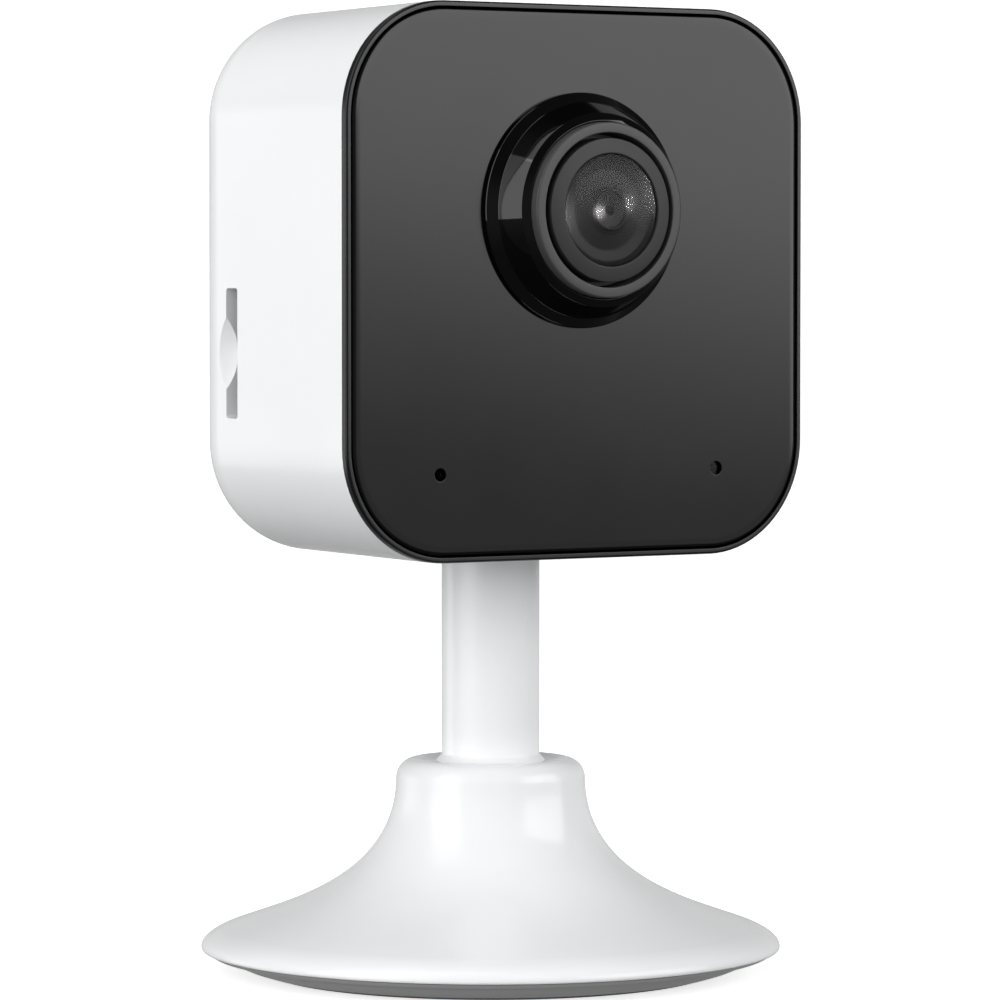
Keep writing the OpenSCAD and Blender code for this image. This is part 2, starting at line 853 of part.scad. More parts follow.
module main_board() {
    color([0.05, 0.3, 0.12])
        difference() {
            union() {
                round_plate(main_half, in_corner - 2.6, main_y, main_back);
                box([-4.6, main_y - 1.3, lens_z - 7.4], [4.6, main_y + eps, lens_z - 4.6]);
                box([mic_ribbon_x - 2.5, main_y - 1.3, head_z - 20.4],
                    [mic_ribbon_x + 2.5, main_y + eps, head_z - 17.2]);
            }
            box([-cheek_out - 0.8, main_y - 3, head_low], [cheek_out + 0.8, main_back + 1, pivot_z + slot_w + well_wall + 0.8]);
            at_posts()
                ycyl(1.1, main_y - 2, main_back + 1, 0, 0);
        }
}

module board_screws() {
    color("silver")
        at_posts()
            translate([0, main_back, 0])
                screw_y(0.8, 5.5, 1.9, 1.3);
}

module processor() {
    color([0.1, 0.1, 0.1])
        box([-4, main_back, head_z + 3], [10, main_back + 1.2, head_z + 17]);
}

module memory_chip() {
    color([0.1, 0.1, 0.1])
        box([-19, main_back, head_z + 6], [-10, main_back + 1, head_z + 14]);
}

module shield_can() {
    color("silver")
        box([6, main_y - 2, head_z - 10], [22, main_y, head_z - 1]);
}

module thermal_pad() {
    color([0.6, 0.65, 0.75])
        box([-3, main_back + 1.2, head_z + 4], [9, main_back + 1.7, head_z + 16]);
}

module heat_spreader() {
    plate_y = main_back + 1.7;
    color([0.75, 0.75, 0.77]) {
        box([-6, plate_y, head_z - 1], [16, plate_y + 1, head_z + 19]);
        for (x = [-6, 14])
            box([x, main_back, head_z + 18], [x + 2, plate_y + eps, head_z + 19]);
    }
}

module ribbon_cables() {
    color([0.85, 0.85, 0.85]) {
        box([-4, sensor_y + board_t + 1.3, lens_z - 6.2], [4, main_y - 1.3, lens_z - 5.9]);
        box([mic_ribbon_x - 2, front_board_y + board_t + 1.3, head_z - 19],
            [mic_ribbon_x + 2, main_y - 1.3, head_z - 18.7]);
    }
}

module card_socket() {
    color("silver")
        difference() {
            box([socket_x, main_back, card_z - socket_h / 2],
                [socket_x + socket_l, main_back + socket_t, card_z + socket_h / 2]);
            box([socket_x - 1, main_back + 0.2, card_z - socket_h / 2 + 0.4],
                [socket_x + socket_l - 0.3, main_back + socket_t - 0.2, card_z + socket_h / 2 - 0.4]);
        }
}

module card_ejector() {
    color([0.2, 0.2, 0.2])
        box([socket_x + 11.4, main_back + 0.3, card_z - socket_h / 2 + 0.6],
            [socket_x + 12.9, main_back + socket_t - 0.3, card_z + socket_h / 2 - 0.6]);
}

module io_board() {
    low = usb_z - 1.3 - io_t;
    color([0.05, 0.3, 0.12])
        box([usb_x - 4.6, main_back, low], [usb_x + 5.2, inner_back - 0.2, low + io_t]);
}

module power_socket() {
    color("silver")
        difference() {
            box([usb_x - 3.8, back_y - 6.4, usb_z - 1.3], [usb_x + 3.8, back_y - 0.9, usb_z + 1.3]);
            difference() {
                box([usb_x - 3.5, back_y - 5.9, usb_z - 1], [usb_x + 3.5, back_y, usb_z + 1]);
                box([usb_x - 2.4, back_y - 6.2, usb_z - 0.3], [usb_x + 2.4, back_y - 1.6, usb_z + 0.3]);
            }
        }
}

module reset_switch() {
    color([0.15, 0.15, 0.15])
        difference() {
            box([button_x - 3, main_back, button_z - 3], [button_x + 3, main_back + 3.5, button_z + 3]);
            ycyl(1.7 + fit, main_back + 2.2, main_back + 4, button_x, button_z);
        }
}

module switch_plunger() {
    color([0.1, 0.1, 0.1])
        ycyl(1.7, main_back + 2.2 + button_travel + 0.1, inner_back - 1.2 - play, button_x, button_z);
}

module reset_button() {
    color("white") {
        ycyl(button_r, inner_back - 0.6, back_y - 0.2, button_x, button_z);
        ycyl(button_r + 1, inner_back - 1.2, inner_back - seat, button_x, button_z);
    }
}

module speaker() {
    rear = inner_back - gasket_t;
    color([0.15, 0.15, 0.15]) {
        ycyl(speaker_r, rear - 1.6, rear, 0, speaker_z);
        ycyl(speaker_r - 3, rear - speaker_t, rear - 1.6 + eps, 0, speaker_z);
    }
}

module speaker_gasket() {
    color([0.2, 0.2, 0.2])
        difference() {
            ycyl(speaker_r, inner_back - gasket_t, inner_back, 0, speaker_z);
            ycyl(speaker_r - 1, inner_back - gasket_t - 1, inner_back + 1, 0, speaker_z);
        }
}

module antenna() {
    top = head_z + in_half - 0.9;
    color([0.1, 0.35, 0.15])
        box([-18, front_y + 10.5, top - 0.8], [18, front_y + 18.5, top]);
}

module antenna_lead() {
    top = head_z + in_half - 1.7;
    lead_y = main_y - 3.5;
    lead_r = 0.55;
    color([0.1, 0.1, 0.1]) {
        translate([16, lead_y, head_z - 4])
            cylinder(r = lead_r, h = top - head_z + 4);
        translate([16, lead_y, head_z - 4])
            sphere(r = lead_r);
        ycyl(lead_r, lead_y, main_y - 2, 16, head_z - 4);
    }
}

module rating_label() {
    low = pivot_z + slot_w + 3;
    color([0.9, 0.9, 0.9])
        box([-7.9, back_y - 0.15, low + 0.1], [7.9, back_y - 0.05, low + 5.9]);
}

// ---------------------------------------------------------------- output

base_shell();
base_cover();
base_foot();
base_weight();
base_magnet();
cover_screws();
swivel_washer();
swivel_plate();
swivel_screw();
stem();
rear_housing();
front_frame();
front_panel();
panel_tape();
pivot_well();
pivot_screw();
pivot_nut();
friction_washers();
well_screws();
lens_trim_ring();
lens_bezel();
lens_barrel();
lens_baffle();
front_glass();
inner_lenses();
lens_holder();
ir_cut_housing();
ir_cut_blade();
ir_filter();
ir_cut_coil();
image_sensor();
sensor_board();
sensor_screws();
front_board();
ir_lamps();
microphone();
mic_boot();
status_lamp();
light_pipe();
main_board();
board_screws();
processor();
memory_chip();
shield_can();
thermal_pad();
heat_spreader();
ribbon_cables();
card_socket();
card_ejector();
io_board();
power_socket();
reset_switch();
switch_plunger();
reset_button();
speaker();
speaker_gasket();
antenna();
antenna_lead();
rating_label();
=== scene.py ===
"""Looks of the compact indoor camera: smooth casings, glossy face, lens stack, neck and base."""

from __future__ import annotations

import logging
import math
from dataclasses import dataclass, field
from enum import Enum
from typing import Callable, Iterable, Sequence

import bmesh
import bpy
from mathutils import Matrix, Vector


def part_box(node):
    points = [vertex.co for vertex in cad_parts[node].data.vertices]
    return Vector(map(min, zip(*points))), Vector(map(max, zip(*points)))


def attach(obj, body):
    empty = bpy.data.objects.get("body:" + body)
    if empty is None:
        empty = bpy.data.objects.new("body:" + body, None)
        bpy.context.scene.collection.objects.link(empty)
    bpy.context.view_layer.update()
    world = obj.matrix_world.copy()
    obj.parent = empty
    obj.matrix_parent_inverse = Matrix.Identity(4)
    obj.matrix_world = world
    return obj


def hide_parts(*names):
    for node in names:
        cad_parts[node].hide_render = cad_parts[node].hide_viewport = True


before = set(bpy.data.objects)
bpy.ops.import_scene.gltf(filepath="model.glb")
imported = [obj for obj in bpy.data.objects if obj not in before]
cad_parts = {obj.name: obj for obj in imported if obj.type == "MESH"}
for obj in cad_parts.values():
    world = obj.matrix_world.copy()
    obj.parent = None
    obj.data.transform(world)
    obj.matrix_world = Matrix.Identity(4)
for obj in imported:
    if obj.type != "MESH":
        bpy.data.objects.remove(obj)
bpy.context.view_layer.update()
LOG = logging.getLogger("camera")

MM = 0.001
Point2 = tuple[float, float]
Ring = list[Vector]


# ------------------------------------------------------------------ materials


def linear(hex_colour: str) -> tuple[float, float, float, float]:
    """Turns an sRGB hex colour to linear RGBA.

    Args:
        hex_colour: six hex digits after a hash.

    Returns:
        The four linear channels, alpha 1.
    """
    parts = [int(hex_colour[i : i + 2], 16) / 255 for i in (1, 3, 5)]
    low = [c / 12.92 if c <= 0.04045 else ((c + 0.055) / 1.055) ** 2.4 for c in parts]
    return (low[0], low[1], low[2], 1.0)


def add(
    tree: bpy.types.NodeTree,
    kind: str,
    values: dict[str, object] | None = None,
    links: dict[str, bpy.types.NodeSocket] | None = None,
    **settings: object,
) -> bpy.types.Node:
    """Adds one node to a tree.

    Args:
        tree: the material's or world's node tree.
        kind: the node's type name.
        values: socket name to plain value.
        links: socket name to the output that feeds it.
        settings: attributes of the node itself.

    Returns:
        The new node.
    """
    node = tree.nodes.new(kind)
    for key, value in settings.items():
        setattr(node, key, value)
    for key, value in (values or {}).items():
        node.inputs[key].default_value = value
    for key, socket in (links or {}).items():
        tree.links.new(socket, node.inputs[key])
    return node


class Skin(Enum):
    """How a surface was made, which decides its fine pattern."""

    MOULDED = "moulded"
    POLISHED = "polished"
    TURNED = "turned"
    MASKED = "masked"
    STRIPED = "striped"
    FOAMED = "foamed"
    FIBROUS = "fibrous"
    CLEAR = "clear"


@dataclass(frozen=True)
class Finish:
    """One real material and its surface."""

    name: str
    colour: str
    skin: Skin
    roughness: float
    pitch_mm: float
    relief_mm: float
    metallic: float = 0.0
    ior: float = 1.5
    accent: str | None = None
    mottle: float = 0.04
    coat: float = 0.0
    mirror: float = 1.0

    def material(self) -> bpy.types.Material:
        """Builds the material once and returns it afterwards."""
        made = bpy.data.materials.get(self.name)
        return made if made else self._build()

    def _build(self) -> bpy.types.Material:
        """Makes the node tree of this finish.

        Returns:
            The new material.
        """
        made = bpy.data.materials.new(self.name)
        made.use_nodes = True
        tree = made.node_tree
        shader = tree.nodes["Principled BSDF"]
        coords = add(tree, "ShaderNodeTexCoord")
        relief = self._pattern(tree, coords.outputs["Object"])
        broad = add(
            tree,
            "ShaderNodeTexNoise",
            {"Scale": 1 / (18 * MM), "Detail": 3.0},
            {"Vector": coords.outputs["Object"]},
        )
        spread = add(
            tree,
            "ShaderNodeMapRange",
            {"From Min": 0.3, "From Max": 0.7, "To Min": self.roughness - self.mottle,
             "To Max": self.roughness + self.mottle},
            {"Value": broad.outputs["Fac"]},
        )
        tree.links.new(spread.outputs["Result"], shader.inputs["Roughness"])
        self._colour(tree, shader, relief, broad.outputs["Fac"])
        bump = add(
            tree,
            "ShaderNodeBump",
            {"Strength": 1.0, "Distance": self.relief_mm * MM},
            {"Height": relief},
        )
        tree.links.new(bump.outputs["Normal"], shader.inputs["Normal"])
        shader.inputs["Metallic"].default_value = self.metallic
        if not self.metallic:
            shader.inputs["IOR"].default_value = self.ior
        if self.coat:
            shader.inputs["Coat Weight"].default_value = self.coat
            shader.inputs["Coat Roughness"].default_value = 0.04
        if self.skin is Skin.CLEAR:
            self._clear(tree, shader)
        return made

    def _clear(self, tree: bpy.types.NodeTree, shader: bpy.types.Node) -> None:
        """Lets light through, with a mirror image that grows towards the rim.

        Args:
            tree: the material's tree.
            shader: the shader of the mirror image.
        """
        shader.inputs["Metallic"].default_value = 1.0
        head_on = self.mirror * ((self.ior - 1) / (self.ior + 1)) ** 2
        tilt = add(tree, "ShaderNodeLayerWeight", {"Blend": 0.5})
        rise = add(tree, "ShaderNodeMath", {1: 5.0}, {0: tilt.outputs["Facing"]}, operation="POWER")
        share = add(
            tree,
            "ShaderNodeMath",
            {1: self.mirror - head_on, 2: head_on},
            {0: rise.outputs["Value"]},
            operation="MULTIPLY_ADD",
        )
        through = add(tree, "ShaderNodeBsdfTransparent", {"Color": linear(self.colour)})
        mixed = add(
            tree,
            "ShaderNodeMixShader",
            None,
            {"Fac": share.outputs["Value"], 1: through.outputs["BSDF"], 2: shader.outputs["BSDF"]},
        )
        tree.links.new(mixed.outputs["Shader"], tree.nodes["Material Output"].inputs["Surface"])

    def _colour(
        self,
        tree: bpy.types.NodeTree,
        shader: bpy.types.Node,
        relief: bpy.types.NodeSocket,
        broad: bpy.types.NodeSocket,
    ) -> None:
        """Feeds the base colour: two shades of one colour, or the accent where the pattern says.

        Args:
            tree: the material's tree.
            shader: the surface shader.
            relief: the fine pattern.
            broad: the slow variation.
        """
        base = linear(self.colour)
        other = linear(self.accent) if self.accent else tuple(0.94 * c for c in base[:3]) + (1.0,)
        blend = add(
            tree,
            "ShaderNodeMix",
            {"Factor": 0.5, "A": base, "B": other},
            data_type="RGBA",
        )
        for socket in blend.inputs:
            if socket.type == "RGBA":
                socket.default_value = base if socket.name == "A" else other
        tree.links.new(relief if self.accent else broad, blend.inputs["Factor"])
        colour_out = [s for s in blend.outputs if s.type == "RGBA"][0]
        tree.links.new(colour_out, shader.inputs["Base Color"])

    def _pattern(self, tree: bpy.types.NodeTree, where: bpy.types.NodeSocket) -> bpy.types.NodeSocket:
        """Makes the fine height pattern of the finish.

        Args:
            tree: the material's tree.
            where: object coordinates, in metres.

        Returns:
            The socket that holds the pattern, 0 to 1.
        """
        scale = 1 / (self.pitch_mm * MM)
        centred = add(tree, "ShaderNodeMapping", None, {"Vector": where}).outputs["Vector"]
        if self.skin is Skin.TURNED:
            rings = add(
                tree,
                "ShaderNodeTexWave",
                {"Scale": scale / 20, "Distortion": 0.6, "Detail": 1.0},
                {"Vector": centred},
                wave_type="RINGS",
                rings_direction="Y",
            )
            return rings.outputs["Fac"]
        if self.skin is Skin.STRIPED:
            bands = add(
                tree,
                "ShaderNodeTexWave",
                {"Scale": scale / 20, "Distortion": 0.0},
                {"Vector": centred},
                wave_type="BANDS",
                bands_direction="X",
            )
            return bands.outputs["Fac"]
        if self.skin is Skin.MASKED:
            cells = add(
                tree,
                "ShaderNodeTexBrick",
                {"Scale": scale, "Mortar Size": 0.12, "Color1": (0, 0, 0, 1), "Color2": (0, 0, 0, 1),
                 "Mortar": (1, 1, 1, 1)},
                {"Vector": centred},
            )
            return cells.outputs["Color"]
        if self.skin is Skin.FOAMED:
            cells = add(tree, "ShaderNodeTexVoronoi", {"Scale": scale}, {"Vector": centred})
            return cells.outputs["Distance"]
        stretch = (1.0, 12.0, 1.0) if self.skin is Skin.FIBROUS else (1.0, 1.0, 1.0)
        laid = add(tree, "ShaderNodeMapping", {"Scale": stretch}, {"Vector": centred})
        grain = add(
            tree,
            "ShaderNodeTexNoise",
            {"Scale": scale, "Detail": 2.0 if self.skin is Skin.POLISHED else 5.0},
            {"Vector": laid.outputs["Vector"]},
        )
        return grain.outputs["Fac"]


# Injection-moulded white ABS, polished tool: soft gloss with a faint flow-line waviness.
WHITE_ABS = Finish("white_gloss_abs", "#f3f4f5", Skin.POLISHED, 0.2, 2.4, 0.0025, ior=1.54, mottle=0.03)
# Moulded ABS from a fine-spark tool: satin black with a 0.2 mm grain.
BLACK_ABS = Finish("satin_black_abs", "#0c0c0d", Skin.MOULDED, 0.28, 0.25, 0.002, ior=1.54)
# Cast acrylic sheet, back-tinted to pass infrared: deep black under a hard polished face.
BLACK_ACRYLIC = Finish("smoked_acrylic", "#060607", Skin.POLISHED, 0.12, 3.0, 0.0008, ior=1.49, mottle=0.02)
# Piano-black ABS: mirror gloss on the dome around the lens.
PIANO_BLACK = Finish("piano_black_abs", "#040405", Skin.POLISHED, 0.05, 1.6, 0.0006, ior=1.54, mottle=0.01)
# Satin grey lacquer on a turned aluminium ring.
BEZEL_LACQUER = Finish("bezel_grey_lacquer", "#404040", Skin.TURNED, 0.42, 0.3, 0.001, mottle=0.03)
# Bead-blasted and black-dyed aluminium of the lens barrel.
BARREL_DYED = Finish("barrel_dyed_aluminium", "#292929", Skin.TURNED, 0.5, 0.4, 0.0015, mottle=0.03)
# Matte black flocked baffle that kills stray light, with fine steps.
BAFFLE_BLACK = Finish("baffle_matte_black", "#252525", Skin.TURNED, 0.4, 0.5, 0.0005)
# Multicoated crown glass: nearly clear, with soft bright spots. Its gloss is wider than polished
# glass has, which keeps the lamps' small spots whole.
COATED_GLASS = Finish(
    "coated_crown_glass", "#e8e8e8", Skin.CLEAR, 0.13, 5.0, 0.0, ior=1.52, mottle=0.01, mirror=0.2
)
# Painted shade: the base's underside is white ABS in shade, coloured light grey to stand for that shade;
# moulded with a fine matt texture.
PAINTED_SHADE_ABS = Finish("painted_shade_underside_abs", "#c6c6c6", Skin.MOULDED, 0.5, 0.35, 0.006, ior=1.54)
# Natural-rubber foot: dull, with a cellular skin.
FOOT_RUBBER = Finish("foot_rubber", "#2b2b2c", Skin.MOULDED, 0.8, 0.6, 0.01, ior=1.52)
# Zinc-plated steel of screws, nuts and washers: bright with a faint turned grain.
ZINC_STEEL = Finish("zinc_plated_steel", "#b9bbbd", Skin.TURNED, 0.32, 0.25, 0.002, metallic=1.0)
# Tin-plated sheet of connector shells and shield cans.
TIN_PLATE = Finish("tin_plated_sheet", "#c9cacb", Skin.FIBROUS, 0.25, 1.2, 0.0015, metallic=1.0)
# Nickel-plated magnet.
NICKEL = Finish("nickel_plate", "#c3bfb6", Skin.POLISHED, 0.14, 2.0, 0.001, metallic=1.0)
# Mill-finish aluminium sheet with rolling lines.
ALUMINIUM = Finish("mill_aluminium", "#c2c4c6", Skin.FIBROUS, 0.38, 0.8, 0.002, metallic=1.0)
# Enamelled copper wire, wound turn by turn.
COPPER = Finish("enamelled_copper", "#b5683a", Skin.STRIPED, 0.3, 0.2, 0.03, metallic=1.0)
# Epoxy glass board under green solder mask, with tracks showing as a lighter net.
SOLDER_MASK = Finish("green_solder_mask", "#0d3a20", Skin.MASKED, 0.35, 2.5, 0.01, accent="#1d5a33")
# Matt black nylon of holders and switches.
BLACK_NYLON = Finish("matte_black_nylon", "#151516", Skin.MOULDED, 0.55, 0.4, 0.004)
# Mould-compound chip packages.
CHIP_EPOXY = Finish("chip_epoxy", "#1b1b1d", Skin.MOULDED, 0.6, 0.15, 0.002)
# Clear cast epoxy over lamp chips.
LAMP_EPOXY = Finish("lamp_epoxy", "#d9cfa6", Skin.POLISHED, 0.15, 1.0, 0.001, accent="#e8dfc0")
# Dichroic filter glass, faintly green-blue.
FILTER_GLASS = Finish("filter_glass", "#bfe0dc", Skin.CLEAR, 0.03, 4.0, 0.0, ior=1.52, mottle=0.01)
# Sensor die under its cover glass.
SENSOR_DIE = Finish("sensor_die", "#2a3346", Skin.MASKED, 0.1, 0.4, 0.0, accent="#3b4a63")
# Silicone gap pad.
GAP_PAD = Finish("silicone_pad", "#7d8aa3", Skin.FOAMED, 0.7, 0.5, 0.01)
# Black silicone boots and gaskets.
SOFT_RUBBER = Finish("black_silicone", "#19191a", Skin.MOULDED, 0.7, 0.5, 0.006)
# Acrylic foam tape.
FOAM_TAPE = Finish("acrylic_foam_tape", "#1f1f20", Skin.FOAMED, 0.85, 0.3, 0.02)
# Flat ribbon: copper lines under a white film at 0.5 mm pitch.
RIBBON = Finish("flat_ribbon", "#dcdcd8", Skin.STRIPED, 0.4, 0.5, 0.01, accent="#b9b4a4")
# Clear acrylic light pipe.
CLEAR_ACRYLIC = Finish("clear_acrylic", "#eef2f4", Skin.CLEAR, 0.08, 3.0, 0.0, ior=1.49, mottle=0.02)
# Uncoated label stock, fibrous and dull.
LABEL_PAPER = Finish("label_paper", "#d8d8d6", Skin.FIBROUS, 0.75, 0.6, 0.004)

NODE_FINISHES: dict[str, Finish] = {
    "base_weight": ZINC_STEEL,
    "base_magnet": NICKEL,
    "cover_screws": ZINC_STEEL,
    "swivel_washer": ZINC_STEEL,
    "swivel_plate": ZINC_STEEL,
    "swivel_screw": ZINC_STEEL,
    "pivot_screw": ZINC_STEEL,
    "pivot_nut": ZINC_STEEL,
    "friction_washers": ZINC_STEEL,
    "well_screws": ZINC_STEEL,
    "sensor_screws": ZINC_STEEL,
    "board_screws": ZINC_STEEL,
    "panel_tape": FOAM_TAPE,
    "pivot_well": BLACK_NYLON,
    "inner_lenses": COATED_GLASS,
    "lens_holder": BLACK_NYLON,
    "ir_cut_housing": BLACK_NYLON,
    "ir_cut_blade": BLACK_NYLON,
    "ir_filter": FILTER_GLASS,
    "ir_cut_coil": COPPER,
    "image_sensor": SENSOR_DIE,
    "sensor_board": SOLDER_MASK,
    "front_board": SOLDER_MASK,
    "main_board": SOLDER_MASK,
    "io_board": SOLDER_MASK,
    "antenna": SOLDER_MASK,
    "ir_lamps": LAMP_EPOXY,
    "status_lamp": LAMP_EPOXY,
    "microphone": TIN_PLATE,
    "shield_can": TIN_PLATE,
    "card_socket": TIN_PLATE,
    "power_socket": TIN_PLATE,
    "mic_boot": SOFT_RUBBER,
    "speaker_gasket": SOFT_RUBBER,
    "light_pipe": CLEAR_ACRYLIC,
    "processor": CHIP_EPOXY,
    "memory_chip": CHIP_EPOXY,
    "thermal_pad": GAP_PAD,
    "heat_spreader": ALUMINIUM,
    "ribbon_cables": RIBBON,
    "card_ejector": BLACK_NYLON,
    "reset_switch": BLACK_NYLON,
    "switch_plunger": BLACK_NYLON,
    "speaker": BLACK_NYLON,
    "antenna_lead": SOFT_RUBBER,
    "rating_label": LABEL_PAPER,
}


# ------------------------------------------------------------------ mesh work


def soften(points: Sequence[Point2], radii: dict[int, float], steps: int = 6) -> list[Point2]:
    """Rounds chosen corners of a closed outline with true arcs.

    Args:
        points: the outline's corners in order.
        radii: corner index to radius.
        steps: pieces in each arc.

    Returns:
        The outline with its rounded corners.
    """
    out: list[Point2] = []
    count = len(points)
    for i, point in enumerate(points):
        here = Vector(point)
        to_last = Vector(points[i - 1]) - here
        to_next = Vector(points[(i + 1) % count]) - here
        if not radii.get(i) or to_last.length < 1e-9 or to_next.length < 1e-9:
            out.append((here.x, here.y))
            continue
        room = 0.48 * min(to_last.length, to_next.length)
        a = to_last.normalized()
        b = to_next.normalized()
        half_angle = math.acos(max(-1.0, min(1.0, a.dot(b)))) / 2
        cut = min(radii[i] / math.tan(half_angle), room)
        radius = cut * math.tan(half_angle)
        centre = here + (a + b).normalized() * (radius / math.sin(half_angle))
        start = here + a * cut - centre
        turn = start.angle_signed(here + b * cut - centre)
        for k in range(steps + 1):
            angle = -turn * k / steps
            cos, sin = math.cos(angle), math.sin(angle)
            out.append((centre.x + start.x * cos - start.y * sin, centre.y + start.x * sin + start.y * cos))
    return out


def object_from(name: str, work: bmesh.types.BMesh) -> bpy.types.Object:
    """Makes a linked object from mesh work done in millimetres.

    Args:
        name: the piece's name.
        work: the mesh, which is freed.

    Returns:
        The new object, in metres.
    """
    bmesh.ops.scale(work, vec=(MM, MM, MM), verts=work.verts)
    bmesh.ops.recalc_face_normals(work, faces=work.faces)
    mesh = bpy.data.meshes.new(name)
    work.to_mesh(mesh)
    work.free()
    made = bpy.data.objects.new(name, mesh)
    bpy.context.scene.collection.objects.link(made)
    return made


def loft(name: str, rings: Sequence[Ring], cap: bool = True, around: bool = False) -> bpy.types.Object:
    """Skins a row of rings that have equal point counts.

    Args:
        name: the piece's name.
        rings: the rings in order; a ring of one point closes to a tip.
        cap: closes the first and last rings with a face.
        around: joins the last ring back to the first instead.

    Returns:
        The closed piece.
    """
    work = bmesh.new()
    made = [[work.verts.new(p) for p in ring] for ring in rings]
    pairs = list(zip(made, made[1:] + made[:1])) if around else list(zip(made, made[1:]))
    for low, high in pairs:
        count = max(len(low), len(high))
        for i in range(count):
            j = (i + 1) % count
            if len(low) == 1 and len(high) == 1:
                continue
            if len(low) == 1:
                work.faces.new((low[0], high[j], high[i]))
            elif len(high) == 1:
                work.faces.new((low[i], low[j], high[0]))
            else:
                work.faces.new((low[i], low[j], high[j], high[i]))
    if cap and not around:
        for ring in (made[0], made[-1]):
            if len(ring) > 2:
                work.faces.new(ring)
    return object_from(name, work)


def turned(
    name: str,
    outline: Sequence[Point2],
    place: Callable[[float, float, float], Vector],
    segments: int = 160,
    around: bool = True,
) -> bpy.types.Object:
    """Turns a closed outline about an axis.

    Args:
        name: the piece's name.
        outline: (radius, height) points; a point on the axis becomes a tip.
        place: turns radius, angle and height into a position.
        segments: steps round the axis.
        around: the outline closes on itself away from the axis.

    Returns:
        The turned piece.
    """
    rings: list[Ring] = []
    for radius, height in outline:
        count = 1 if radius < 1e-6 else segments
        rings.append([place(radius, math.tau * i / segments, height) for i in range(count)])
    return loft(name, rings, cap=False, around=around)


def upright(radius: float, angle: float, height: float) -> Vector:
    """Places a turned point about the stem's axis."""
    return Vector((radius * math.cos(angle), radius * math.sin(angle), height))


def squircle(half: float, corner: float, y: float, centre_z: float, steps: int = 20) -> Ring:
    """Makes a square with round corners in a plane across the head.

    Args:
        half: half the width.
        corner: corner radius.
        y: place along the head's depth.
        centre_z: height of its middle.
        steps: pieces in each corner.

    Returns:
        The outline's points.
    """
    ring: Ring = []
    reach = half - corner
    for quarter in range(4):
        turn = math.pi / 2 * quarter
        cx = reach * (1 if quarter in (0, 3) else -1)
        cz = reach * (1 if quarter in (0, 1) else -1)
        for k in range(steps + 1):
            a = turn + math.pi / 2 * k / steps
            ring.append(Vector((cx + corner * math.cos(a), y, centre_z + cz + corner * math.sin(a))))
    return ring


def prism(
    name: str,
    outline: Sequence[Point2],
    low: float,
    high: float,
    place: Callable[[float, float, float], Vector],
) -> bpy.types.Object:
    """Extrudes a flat outline between two places.

    Args:
        name: the piece's name.
        outline: the outline's points.
        low: start along the third direction.
        high: end along it.
        place: turns (u, v, w) into a position.

    Returns:
        The closed prism.
    """
    rings = [[place(u, v, w) for u, v in outline] for w in (low, high)]
    return loft(name, rings)


def along_x(u: float, v: float, w: float) -> Vector:
    """Places a point of a YZ outline extruded along X."""
    return Vector((w, u, v))


def along_y(u: float, v: float, w: float) -> Vector:
    """Places a point of an XZ outline extruded along Y."""
    return Vector((u, w, v))


def disc(x: float, y: float, radius: float, steps: int = 48) -> list[Point2]:
    """Makes a circle's points about (x, y)."""
    turns = [math.tau * i / steps for i in range(steps)]
    return [(x + radius * math.cos(t), y + radius * math.sin(t)) for t in turns]


def slab(x: float, y: float, wide: float, high: float, corner: float, steps: int = 8) -> list[Point2]:
    """Makes a rectangle with round corners about (x, y).

    Args:
        x: its middle, first direction.
        y: its middle, second direction.
        wide: full width.
        high: full height.
        corner: corner radius.
        steps: pieces in each corner.

    Returns:
        The outline's points.
    """
    w, h = wide / 2, high / 2
    corners = [(x + w, y - h), (x + w, y + h), (x - w, y + h), (x - w, y - h)]
    return soften(corners, {i: corner for i in range(4)}, steps)


def settle(piece: bpy.types.Object) -> None:
    """Applies every modifier of a piece to its mesh.

    Args:
        piece: the piece.
    """
    graph = bpy.context.evaluated_depsgraph_get()
    done = bpy.data.meshes.new_from_object(piece.evaluated_get(graph))
    piece.modifiers.clear()
    piece.data = done


def carve(
    piece: bpy.types.Object, cutters: Iterable[bpy.types.Object], operation: str = "DIFFERENCE"
) -> None:
    """Cuts shapes out of a piece and removes the cutters.

    Args:
        piece: what is cut.
        cutters: closed shapes.
        operation: Blender's name of the operation.
    """
    for cutter in cutters:
        step = piece.modifiers.new("cut", "BOOLEAN")
        step.operation = operation
        step.solver = "EXACT"
        step.object = cutter
        settle(piece)
        bpy.data.objects.remove(cutter)


def ease_edges(piece: bpy.types.Object, width_mm: float, segments: int = 3, angle: float = 40.0) -> None:
    """Rounds every sharp edge of a piece a little.

    Args:
        piece: the piece.
        width_mm: size of the rounding.
        segments: pieces across it.
        angle: edges that turn more than this are sharp, in degrees.
    """
    step = piece.modifiers.new("ease", "BEVEL")
    step.width = width_mm * MM
    step.segments = segments
    step.limit_method = "ANGLE"
    step.angle_limit = math.radians(angle)
    step.use_clamp_overlap = True
    settle(piece)


def shade(piece: bpy.types.Object, angle: float = 35.0) -> None:
    """Shades a piece smooth, keeping edges sharper than an angle and flat faces flat.

    Args:
        piece: the piece.
        angle: the limit, in degrees.
    """
    piece.data.shade_smooth()
    piece.data.set_sharp_from_angle(angle=math.radians(angle))
    step = piece.modifiers.new("weighted", "WEIGHTED_NORMAL")
    step.keep_sharp = True
    step.mode = "FACE_AREA"
    step.weight = 80
    settle(piece)


def dress(piece: bpy.types.Object, finish: Finish, body: str, slot: str, *nodes: str) -> bpy.types.Object:
    """Gives a finished piece its material, its body and the CAD nodes it stands for.

    Args:
        piece: the piece.
        finish: its finish.
        body: the CAD body it rides on.
        slot: a material slot's name; not used.
        nodes: CAD nodes it replaces.

    Returns:
        The same piece.
    """
    piece.data.materials.clear()
    piece.data.materials.append(finish.material())
    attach(piece, body)
    if nodes:
        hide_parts(*nodes)
    LOG.info("%s rides on %s, %d faces", piece.name, body, len(piece.data.polygons))
    return piece


